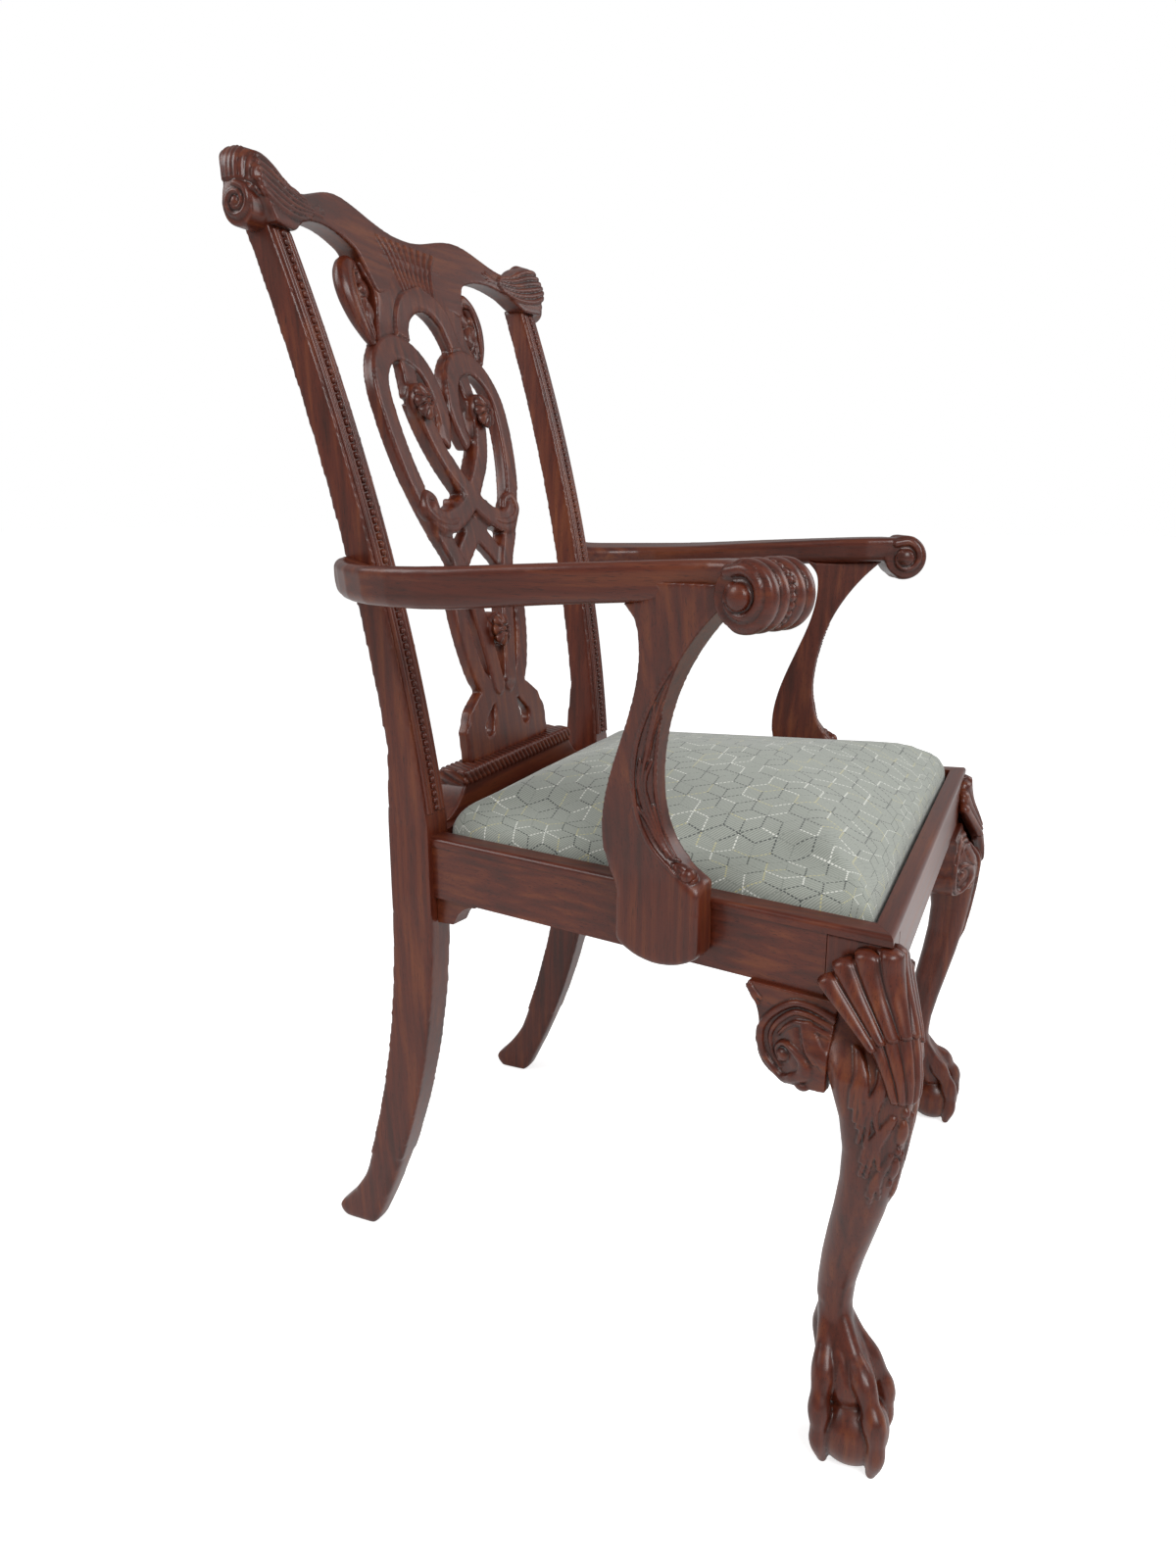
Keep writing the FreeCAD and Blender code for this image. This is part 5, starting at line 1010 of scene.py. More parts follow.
    def leaves(self, points: np.ndarray) -> np.ndarray:
        """Relief of the leaves and husks below the shell.

        Args:
            points: Vertices of the leg.

        Returns:
            Height at each of them.
        """
        round_leg = points[:, 0] - CORNER[0] + points[:, 1] - CORNER[1]
        z = points[:, 2]
        tool = Carver(np.abs(round_leg), z)
        for spray in self.leaf_sprays:
            tool.spray(*spray)
        for husk in self.husks:
            tool.bead(*husk)
        low, high = self.leaf_span
        return tool.height * soft_step((z - low) / 18) * soft_step((high - z) / 12)

    def tier(self, tier: ShellTier) -> bpy.types.Object:
        """Build one tier of the shell.

        Args:
            tier: Sizes of the tier.

        Returns:
            The left tier.
        """
        fan = bmesh.new()
        bmesh.ops.create_grid(fan, x_segments=tier.count * 10, y_segments=22, size=1.0)
        outermost = (tier.count - 1) / 2
        for vertex in fan.verts:
            place = vertex.co.x * tier.count / 2
            rib = float(flutes(np.array(place)))
            middle = max(-outermost, min(outermost, round(place))) * 2 / tier.count
            along = (vertex.co.y + 1) / 2
            low = tier.ends[0] - tier.falls[0] * middle ** 2
            high = tier.ends[1] - tier.falls[1] * middle ** 2 - self.shell_valley * (1 - rib)
            angle = math.radians(vertex.co.x * tier.spread)
            reach = low + along * (high - low)
            end = math.sqrt(max(0.0, 1 - (max(0.0, along - (1 - self.shell_tip)) / self.shell_tip) ** 2))
            if tier.round_foot:
                foot = max(0.0, self.shell_foot - along) / self.shell_foot
                end *= math.sqrt(max(0.0, 1 - foot ** 2)) * 0.8 + 0.2
            proud = tier.lift * end + tier.rise * rib * (0.35 + 0.65 * end)
            vertex.co = self.wrap(reach * math.sin(angle), tier.focus + reach * math.cos(angle), proud)
        skirt = bmesh.ops.extrude_face_region(fan, geom=fan.faces[:])["geom"]
        for vertex in (part for part in skirt if isinstance(part, bmesh.types.BMVert)):
            heart = self.spot(0, self.shell_heart, vertex.co.z / MM)
            vertex.co += (heart - vertex.co).normalized() * self.shell_depth * MM
        bmesh.ops.recalc_face_normals(fan, faces=fan.faces)
        return piece_of(fan, tier.name)

    def wrap(self, around: float, height: float, proud: float) -> Vector:
        """Lay a place of the shell round the knee.

        Args:
            around: Distance round the knee from its corner.
            height: Height.
            proud: Distance off the knee.

        Returns:
            The point in metres.
        """
        sharp = float(np.interp(height, self.shell_heights, self.shell_reaches))
        radius = float(np.interp(height, self.shell_heights, self.shell_rounds))
        turn = max(-math.pi / 4, min(math.pi / 4, around / radius))
        extra = abs(around) - radius * math.pi / 4
        aside = (radius + proud) * math.sin(turn)
        out = sharp - radius * math.sqrt(2) + (radius + proud) * math.cos(turn)
        if extra > 0:
            aside += math.copysign(extra * DIAGONAL, around)
            out -= extra * (DIAGONAL + 0.12)
        return self.spot(aside, out, height)


@dataclass
class KneeBrackets:
    """Brackets beside the knees, each a leafy scroll that winds into a round eye."""

    sides: tuple[tuple[str, RailFace, Grain], ...] = (
        ("knee_bracket_side_left", SIDE_FACE, Grain.DEPTH),
        ("knee_bracket_front_left", FRONT_FACE, Grain.ACROSS))
    voxel: float = 0.85
    face: float = 5.0
    back: float = -25.0
    knee_heights: tuple[float, ...] = (310, 330, 345, 352, 360, 367, 374, 383)
    knee_stands: tuple[float, ...] = (18, 19, 17.5, 14.5, 10, 6, 2.5, 0)
    knee_end: float = 84.0
    tuck: float = 14.0
    tuck_start: float = 62.0
    strands: tuple[tuple, ...] = (
        (((40, 368), (60, 376), (77, 368), (91, 350), (89, 328), (72, 315), (58, 324), (56, 335), (62, 343),
          (71, 343), (77, 336), (73, 329)), (2.6, 3.4, 1.9), 3.4),
        (((40, 363), (60, 369.5), (73, 362), (83, 348), (82, 333), (73, 323)), (2.0, 2.2, 1.2), 2.4),
        (((40, 358), (58, 363), (69, 357), (77, 347)), (1.8, 1.8, 1.0), 2.0))
    sprays: tuple[tuple, ...] = (
        ((58, 364), (44, 336), 4, 5, 2, 2.2, 2.6), ((104, 380), (95, 366), 3, 4, 0, 2.0, 2.0))
    eyes: tuple[tuple, ...] = (((71, 334), (5.4, 5.4), 4.6), ((57, 317), (3.2, 3.2), 2.6))
    plain_end: float = 42.0

    def build(self) -> None:
        """Carve both left brackets and mirror them."""
        for node, face, grain in self.sides:
            piece = dense_copy(node, self.voxel, 3)
            points, normals = read_points(piece)
            along, proud = face.measure(points)
            swell = np.interp(points[:, 2], self.knee_heights, self.knee_stands)
            swell = swell * soft_step((self.knee_end - along) / 40)
            swell = swell * np.clip((proud - self.back) / (self.face - self.back), 0, 1)
            points[:, :2] += swell[:, None] * np.array(face.out)
            tuck = self.tuck * np.clip((self.tuck_start - along) / 16, 0, 1)
            points[:, :2] -= tuck[:, None] * np.array(face.along)
            write_points(piece, points)
            facing = normals[:, :2] @ np.array(face.out)
            carve(piece, self.relief(along, points[:, 2]) * np.clip((facing - 0.15) * 3, 0, 1))
            piece.data.shade_smooth()
            dress_pair(piece, Mahogany(grain, carved=True), node)

    def relief(self, along: np.ndarray, height: np.ndarray) -> np.ndarray:
        """Relief of the scroll and its leaves.

        Args:
            along: Distance from the leg's corner.
            height: Height.

        Returns:
            Height of the carving at each vertex.
        """
        tool = Carver(along, height)
        for strand in self.strands:
            tool.strand(*strand)
        for spray in self.sprays:
            tool.spray(*spray)
        for eye in self.eyes:
            tool.bead(*eye)
        return tool.height * soft_step((along - self.plain_end) / 12)


@dataclass
class CrestRail:
    """Serpentine top rail with rolled ears, long leaves beside them and a fan of reeds in the middle."""

    voxel: float = 1.3
    roll: Path = (
        (212, 265, 981, 8), (227, 265, 984, 12), (239, 264, 986, 14.5), (243, 263, 983, 14.5),
        (244, 262, 972, 13))
    ear: tuple[float, float, float, float] = (238.0, 983.0, 18.5, 18.0)
    scroll_middle: tuple[float, float] = (261.0, 957.5)
    scroll_radius: float = 15.0
    scroll_ends: tuple[float, float] = (231.0, 257.0)
    lean: float = 0.306
    reed: float = 4.4
    leaf_strands: int = 6
    fan_strands: int = 9
    ear_reeds: tuple[float, float] = (240.0, 974.0)
    end_face: tuple[float, float] = (250.0, 973.0)
    ear_soft: tuple[float, float] = (204.0, 968.0)
    neck_half: float = 98.0
    neck_drop: float = 17.0
    post_drop: float = 3.0

    def build(self) -> None:
        """Grow the ears, draw the neck down and carve the rail."""
        rail = self.rolled()
        self.lengthen(rail)
        reskin(rail, self.voxel, 2)
        points, normals = read_points(rail)
        side = np.abs(points[:, 0])
        z = points[:, 2]
        leaf = Carver(side, z)
        for share in np.linspace(0, 1, self.leaf_strands):
            leaf.strand([(252, 968 + 24 * share), (228, 959 + 33 * share), (198, 957 + 25 * share),
                         (164 + 16 * abs(share - 0.5), 963 + 13 * share)], (2.8, 2.7, 1.5), 2.6)
        leaf.spray((164, 970), (142, 975), 3, 4, 0, 1.8, 1.6)
        fan = Carver(points[:, 0], z)
        for place in np.linspace(-1, 1, self.fan_strands):
            fan.strand([(49 * place, 976), (37 * place, 960), (27 * place, 930)], (2.0, 2.8, 2.2), 2.2)
        relief = np.maximum(leaf.height, fan.height) * facing_front(normals)
        outward = np.abs(normals[:, 0])
        reeds = (side > self.ear_reeds[0]) & (z > self.ear_reeds[1]) & (outward > 0.35)
        relief = np.where(reeds, 1.2 * flutes(points[:, 1] / self.reed), relief)
        end = Carver(points[:, 1], z)
        end.scroll(self.scroll_middle, self.scroll_radius - 2, 4.2, 1.7, 0.25, 1.0, 2.6, 2.6)
        on_end = (outward > 0.6) & (side > self.end_face[0]) & (z < self.end_face[1])
        carve(rail, np.where(on_end, end.height, relief))
        rail.data.shade_smooth()
        dress_wood(rail, Mahogany(Grain.ACROSS, carved=True), "crest_rail")

    def rolled(self) -> bpy.types.Object:
        """Copy the CAD rail and grow its ears to full rolls over round scrolls.

        Returns:
            The rail with an even skin.
        """
        mesh = merged_mesh("crest_rail", "crest_rail_wood")
        shell = bmesh.new()
        shell.from_mesh(mesh)
        low, high = self.scroll_ends
        for hand in (1, -1):
            string_balls(shell, [(hand * x, y, z, radius) for x, y, z, radius in self.roll])
            middle = Vector((hand * (low + high) / 2, *self.scroll_middle)) * MM
            bmesh.ops.create_cone(shell, cap_ends=True, segments=48, radius1=self.scroll_radius * MM,
                                  radius2=self.scroll_radius * MM, depth=(high - low) * MM,
                                  matrix=Matrix.Translation(middle) @ Matrix.Rotation(math.pi / 2, 4, "Y"))
        shell.to_mesh(mesh)
        shell.free()
        rail = piece_from(mesh, "crest_rail_wood")
        reskin(rail, self.voxel, 4)
        points, _ = read_points(rail)
        side = np.abs(points[:, 0])
        middle_x, middle_z, half_x, half_z = self.ear
        across = (side - middle_x) / half_x
        up = (points[:, 2] - middle_z) / half_z
        past = np.where((across > 0) & (up > 0), np.maximum(1, np.hypot(across, up)), 1)
        drawn_in = np.sign(points[:, 0]) * (middle_x + across / past * half_x)
        points[:, 0] = np.where(past > 1, drawn_in, points[:, 0])
        points[:, 2] = np.where(past > 1, middle_z + up / past * half_z, points[:, 2])
        write_points(rail, points)
        soften(rail, (np.abs(points[:, 0]) > self.ear_soft[0]) & (points[:, 2] > self.ear_soft[1]), 16)
        return rail

    def lengthen(self, rail: bpy.types.Object) -> None:
        """Draw the neck down over the splat and the ends down on the posts.

        Args:
            rail: Rail with an even skin.
        """
        points, _ = read_points(rail)
        side = np.abs(points[:, 0])
        z = points[:, 2]
        drop = (self.neck_drop + 9 * (side / 75) ** 2) * soft_step((self.neck_half - side) / 26)
        drop *= soft_step((968 - z) / 20)
        drop += self.post_drop * soft_step((side - 160) / 20) * soft_step((958 - z) / 8)
        points[:, 1] -= self.lean * drop
        points[:, 2] -= drop
        write_points(rail, points)


@dataclass(frozen=True)
class BackLine:
    """Curve of the back: where the fronts of the posts and of the splat lie."""

    foot: float = 450.0
    rise: float = 498.0
    start: float = 139.29
    lean: float = 42.0
    sweep: float = 68.0
    set_back: float = 20.0

    def post(self, height: float) -> float:
        """Depth of the posts' fronts at a height."""
        share = (height - self.foot) / self.rise
        return self.start + self.lean * share + self.sweep * share ** 2

    def splat(self, height: float) -> float:
        """Depth of the splat's front at a height."""
        return self.post(height) + self.set_back

    def slope(self, height: float) -> float:
        """Angle by which the back leans at a height."""
        return math.atan((self.lean + 2 * self.sweep * (height - self.foot) / self.rise) / self.rise)


@dataclass
class Splat:
    """Pierced splat of interlaced straps, with leafy lobes beside its neck and three rosettes."""

    line: BackLine = field(default_factory=BackLine)
    voxel: float = 1.5
    rosettes: Path = ((57.5, 825.0, 11.0), (-57.5, 825.0, 11.0), (0.0, 605.0, 7.0))
    rosette_radius: float = 18.0
    petals: int = 8
    strap: float = 11.5
    strap_shoulder: float = 0.16
    ring: tuple[float, float, float] = (61.5, 825.0, 60.5)
    loop: Path = (
        (12.5, 790), (12.5, 825), (27, 860), (61.5, 874), (96, 860), (110.5, 825), (95, 748), (63, 695),
        (35.7, 645), (24.2, 605), (11.5, 550))
    arch: Path = ((0, 927.3), (36.6, 912.2), (51.75, 875.6), (57.5, 825))
    bow: Path = ((57.5, 825), (38, 778), (0, 738), (47.6, 714), (83.5, 727))
    bow_band: tuple[float, float, float] = (700.0, 745.0, 52.0)
    knot_band: tuple[float, float, float] = (776.0, 806.0, 34.0)
    neck_span: tuple[float, float] = (862.0, 945.0)
    neck_spread: float = 14.0
    neck_forward: float = 5.5
    neck_heights: tuple[float, ...] = (866, 900, 923, 946)
    neck_halves: tuple[float, ...] = (97, 82.5, 76, 81)
    lobe: Path = (
        (92, 932, 5.5), (101, 941, 8), (111, 934, 9.5), (116, 917, 9.5), (113, 898, 8), (106, 883, 6),
        (99, 873, 4.2))
    curl: Path = (
        (30, 716, 6), (55, 711, 7.5), (78, 715, 8), (91, 726, 7.5), (86, 737, 6.5), (73, 735, 5),
        (68, 727, 4))
    lobe_floor: Path = (
        (95, 931, 7.5), (89, 920, 9.5), (102, 914, 10), (92, 900, 9.5), (101, 894, 9), (96, 880, 6))
    fine_voxel: float = 0.9

    def build(self) -> None:
        """Shape the splat's neck, raise its straps, and set the lobes and the rosettes."""
        splat = dense_copy("splat", self.voxel, 1)
        self.shape_neck(splat)
        reskin(splat, self.voxel, 2)
        points, normals = read_points(splat)
        side = np.abs(points[:, 0])
        z = points[:, 2]
        widths = (self.strap, self.strap, self.strap)
        over = Carver(side, z)
        over.strand(self.arch, widths, 3.0, self.strap_shoulder)
        over.height *= np.hypot(side - self.ring[0], z - self.ring[1]) > self.ring[2]
        over.strand(self.loop, widths, 1.5, self.strap_shoulder)
        over.strand(self.bow, widths, 1.0, self.strap_shoulder)
        carve(splat, over.height * facing_front(normals))
        low, high, inner = self.bow_band
        soften(splat, (z > low) & (z < high) & (side > inner), 8)
        low, high, outer = self.knot_band
        soften(splat, (z > low) & (z < high) & (side < outer), 8)
        splat.data.shade_smooth()
        finish = Mahogany(Grain.UP, carved=True)
        dress_wood(splat, finish, "splat")
        for piece in (self.leaf_lobe("splat_lobe_left"), self.bow_end("splat_bow_left")):
            dress_pair(piece, finish)
        for number, (across, height, stand) in enumerate(self.rosettes, 1):
            dress_wood(self.rosette(f"splat_rosette_{number}", across, height, stand), finish)

    def shape_neck(self, splat: bpy.types.Object) -> None:
        """Bring the neck up to the crest, spread it there and take off the plates where the lobes go.

        Args:
            splat: Splat with an even skin.
        """
        points, _ = read_points(splat)
        z = points[:, 2]
        side = np.abs(points[:, 0])
        loop = self.ring[0] + np.sqrt(np.clip((self.ring[2] + 0.3) ** 2 - (z - self.ring[1]) ** 2, 0, None))
        edge = np.maximum(np.interp(z, self.neck_heights, self.neck_halves), loop)
        side = np.where((z > self.neck_span[0]) & (z < self.neck_span[1]), np.minimum(side, edge), side)
        side += self.neck_spread * soft_step((z - 908) / 42) * np.clip((side - 35) / 30, 0, 1)
        depth = points[:, 1] - np.array([self.line.splat(height) for height in z])
        points[:, 1] -= self.neck_forward * soft_step((z - 890) / 40) * np.clip(1 - depth / 12, 0, 1)
        points[:, 0] = np.sign(points[:, 0]) * side
        write_points(splat, points)

    def leaf_lobe(self, name: str) -> bpy.types.Object:
        """Make the leafy lobe beside the neck, a thick curl round a hollow with a bead.

        Args:
            name: Name of the piece.

        Returns:
            The left lobe.
        """
        piece = self.limbs(name, ((self.lobe, 4.0), (self.lobe_floor, 7.5)))
        points, normals = read_points(piece)
        leaf = Carver(points[:, 0], points[:, 2])
        leaf.strand([(97, 936), (107, 934), (112, 918), (109, 899), (101, 877)], (1.6, 2.6, 1.6), 1.8)
        leaf.bead((99, 920), (4.6, 4.6), 4.0)
        leaf.spray((100, 912), (96, 880), 3, 5, 1, 2.2, 2.4)
        carve(piece, leaf.height * facing_front(normals))
        return piece

    def bow_end(self, name: str) -> bpy.types.Object:
        """Make the curled end of the bow.

        Args:
            name: Name of the piece.

        Returns:
            The left end.
        """
        return self.limbs(name, ((self.curl, 1.0),))

    def limbs(self, name: str, paths: tuple[tuple[Path, float], ...]) -> bpy.types.Object:
        """Grow round limbs on the splat's front under one skin.

        Args:
            name: Name of the piece.
            paths: Paths of the limbs across and up, with radii, each with how far it is sunk.

        Returns:
            The left piece.
        """
        shell = bmesh.new()
        for path, sunk in paths:
            string_balls(shell, [(x, self.line.splat(z) + sunk, z, radius) for x, z, radius in path])
        piece = piece_of(shell, name)
        reskin(piece, self.fine_voxel, 3)
        piece.data.shade_smooth()
        return piece

    def rosette(self, name: str, across: float, height: float, stand: float) -> bpy.types.Object:
        """Make one rosette of two rings of petals round a bead.

        Args:
            name: Name of the piece.
            across: Its place across the back.
            height: Its height.
            stand: How far its seat stands off the splat.

        Returns:
            The rosette.
        """
        shell = bmesh.new()
        bmesh.ops.create_uvsphere(shell, u_segments=96, v_segments=32, radius=1.0)
        for vertex in shell.verts:
            reach = math.hypot(vertex.co.x, vertex.co.y)
            angle = math.atan2(vertex.co.y, vertex.co.x)
            outer = abs(math.cos(self.petals * angle / 2)) ** 0.6
            inner = abs(math.sin(self.petals * angle / 2)) ** 0.6
            size = self.rosette_radius * (0.8 + 0.2 * outer * reach)
            rise = 2.0 * (1 - reach ** 2)
            rise += 3.4 * outer * math.sin(math.pi * max(0.0, (reach - 0.3) / 0.7)) ** 0.7
            rise += 3.0 * inner * math.exp(-((reach - 0.4) / 0.13) ** 2)
            rise += 3.4 * math.sqrt(max(0.0, 1 - (reach / 0.2) ** 2))
            depth = rise if vertex.co.z > 0 else -4.0 * math.sqrt(max(0.0, 1 - reach ** 8))
            if reach > 0.995:
                depth = 0.0
            vertex.co = Vector((vertex.co.x * size, vertex.co.y * size, depth)) * MM
        return self.set_on_back(shell, name, across, height, stand)

    def set_on_back(self, shell: bmesh.types.BMesh, name: str, across: float, height: float,
                    stand: float) -> bpy.types.Object:
        """Stand a carving up on the leaning splat.

        Args:
            shell: Carving with its face up.
            name: Name of the piece.
            across: Its place across the back.
            height: Its height.
            stand: How far its seat stands off the splat.

        Returns:
            The piece.
        """
        turn = Matrix.Rotation(math.pi / 2 - self.line.slope(height), 4, "X")
        place = Vector((across, self.line.splat(height) - stand, height)) * MM
        bmesh.ops.transform(shell, matrix=Matrix.Translation(place) @ turn, verts=shell.verts)
        bmesh.ops.remove_doubles(shell, verts=shell.verts, dist=0.01 * MM)
        bmesh.ops.recalc_face_normals(shell, faces=shell.faces)
        return piece_of(shell, name)


@dataclass
class RearPosts:
    """Back posts that run down into the rear legs, with a pearled moulding up their fronts."""

    line: BackLine = field(default_factory=BackLine)
    voxel: float = 2.0
    span: tuple[float, float] = (462.0, 942.0)
    inner: tuple[float, float] = (173.0, 207.0)
    outer: tuple[float, float] = (209.0, 237.0)
    margin: float = 3.0
    pearl: float = 3.0
    pitch: float = 6.6
    reeds: tuple[float, ...] = (0.1, 0.26, 0.74, 0.9)
    reed_half: float = 0.08
    reed_rise: float = 1.9
    foot: float = 90.0

    def build(self) -> None:
        """Round the posts off and lay their mouldings."""
        post = dense_copy("rear_post_left", self.voxel, 2)
        points, _ = read_points(post)
        points[:, 2] = np.maximum(points[:, 2], 0)
        write_points(post, points)
        soften(post, points[:, 2] < self.foot, 26)
        post.data.shade_smooth()
        trims = (self.moulding("post_moulding_left"), self.pearls("post_pearls_left"))
        finish = Mahogany(Grain.UP)
        dress_pair(post, finish, "rear_post_left")
        for trim in trims:
            dress_pair(trim, finish)

    def across(self, share: float, height: float) -> float:
        """Find a place across the post's front.

        Args:
            share: Nought at the inner edge and one at the outer.
            height: Height.

        Returns:
            Distance from the chair's middle.
        """
        run = (height - self.line.foot) / self.line.rise
        low = self.inner[0] + (self.inner[1] - self.inner[0]) * run + self.margin
        high = self.outer[0] + (self.outer[1] - self.outer[0]) * run - self.margin
        return low + (high - low) * share

    def moulding(self, name: str) -> bpy.types.Object:
        """Make the reeds that frame the pearls.

        Args:
            name: Name of the piece.

        Returns:
            The left moulding.
        """
        strip = bmesh.new()
        bmesh.ops.create_grid(strip, x_segments=72, y_segments=60, size=1.0)
        for vertex in strip.verts:
            share = (vertex.co.x + 1) / 2
            height = self.span[0] + (vertex.co.y + 1) / 2 * (self.span[1] - self.span[0])
            rise = max(math.sqrt(max(0.0, 1 - ((share - reed) / self.reed_half) ** 2)) for reed in self.reeds)
            depth = self.line.post(height) - 0.4 - self.reed_rise * rise
            vertex.co = Vector((self.across(share, height), depth, height)) * MM
        back = bmesh.ops.extrude_face_region(strip, geom=strip.faces[:])["geom"]
        bmesh.ops.translate(strip, verts=[part for part in back if isinstance(part, bmesh.types.BMVert)],
                            vec=(0, 4 * MM, 0))
        bmesh.ops.recalc_face_normals(strip, faces=strip.faces)
        moulding = piece_of(strip, name)
        moulding.data.set_sharp_from_angle(angle=math.radians(60))
        return moulding

    def pearls(self, name: str) -> bpy.types.Object:
        """Make the row of pearls.

        Args:
            name: Name of the piece.

        Returns:
            The left row.
        """
        row = bmesh.new()
        count = round((self.span[1] - self.span[0]) / self.pitch)
        for number in range(count):
            height = self.span[0] + (number + 0.5) * self.pitch
            place = Vector((self.across(0.5, height), self.line.post(height) - 0.8, height)) * MM
            bmesh.ops.create_uvsphere(row, u_segments=10, v_segments=7, radius=self.pearl * MM,
                                      matrix=Matrix.Translation(place))
        return piece_of(row, name)


@dataclass
class Shoe:
    """Shoe at the foot of the splat, its top edge cut into slanting lobes."""

    voxel: float = 1.25
    half: float = 119.0
    lobe: float = 8.6
    lobe_rise: float = 2.6
    low: float = 466.0
    middle: tuple[float, float] = (155.0, 474.0)

    def build(self) -> None:
        """Round the shoe off and cut the lobes."""
        shoe = dense_copy("splat_shoe", self.voxel, 2)
        points, normals = read_points(shoe)
        y, z = self.middle
        slant = (points[:, 0] + 0.9 * (points[:, 2] - z) - 0.5 * (points[:, 1] - y)) / self.lobe
        reach = soft_step((points[:, 2] - self.low) / 3) * (np.abs(points[:, 0]) < self.half + 2)
        front = np.clip((0.4 - normals[:, 1]) * 3, 0, 1)
        carve(shoe, self.lobe_rise * (flutes(slant) - 0.25) * reach * front)
        shoe.data.shade_smooth()
        dress_wood(shoe, Mahogany(Grain.ACROSS, carved=True), "splat_shoe")


@dataclass
class Arms:
    """Dished arms that end in a reeded drum with scrolled ends."""

    voxel: float = 1.3
    drum: tuple[float, float, float] = (303.0, -182.71, 672.0)
    heading: tuple[float, float] = (0.358, -0.934)
    axis: tuple[float, float] = (0.934, 0.358)
    radius: float = 22.0
    reed: float = 10.8
    band: float = 3.6
    bead_count: int = 24
    drum_half: float = 27.0
    drum_eye: float = 8.5
    dowel_end: tuple[float, float, float] = (245.0, 196.0, 670.0)
    cheek: float = 2.6
    cheek_reach: float = 14.0

    def build(self) -> None:
        """Round the left arm off, carve its drum and mirror it."""
        arm = dense_copy("arm_left", self.voxel, 6)
        points, _ = read_points(arm)
        off_dowel = np.linalg.norm(points - np.array(self.dowel_end), axis=1)
        carve(arm, self.cheek * np.exp(-(off_dowel / self.cheek_reach) ** 2))
        points, normals = read_points(arm)
        flat = points[:, :2] - np.array(self.drum[:2])
        ahead = flat @ np.array(self.heading)
        across = flat @ np.array(self.axis)
        up = points[:, 2] - self.drum[2]
        reach = np.hypot(ahead, up)
        end_on = normals[:, :2] @ np.array(self.axis)
        on_drum = (np.abs(reach - self.radius) < 6) & (np.abs(end_on) < 0.6)
        on_drum &= np.abs(across) < self.drum_half
        fade = soft_step((ahead + 12) / 8)
        turn = np.arctan2(up, ahead) / (2 * math.pi) * self.bead_count
        pearl = np.sqrt(np.clip(1 - (across / self.band) ** 2 - (2 * (turn - np.round(turn))) ** 2, 0, 1))
        reeds = flutes((np.abs(across) - self.band) / self.reed - 0.5)
        bands = np.where(np.abs(across) < self.band, 2.2 * pearl, 3.0 * reeds) * fade
        ends = Carver(ahead, up)
        ends.scroll((0.0, 0.0), 19.0, self.drum_eye, 1.0, 0.35, -1.0, 4.0, 3.0)
        ends.bead((0.0, 0.0), (self.drum_eye, self.drum_eye), 5.0)
        on_end = (np.abs(end_on) > 0.6) & (reach < 23) & (np.abs(across) > 18)
        carve(arm, np.where(on_end, ends.height, np.where(on_drum, bands - 0.6 * fade, 0)))
        arm.data.shade_smooth()
        dress_pair(arm, Mahogany(Grain.DEPTH, carved=True), "arm_left")


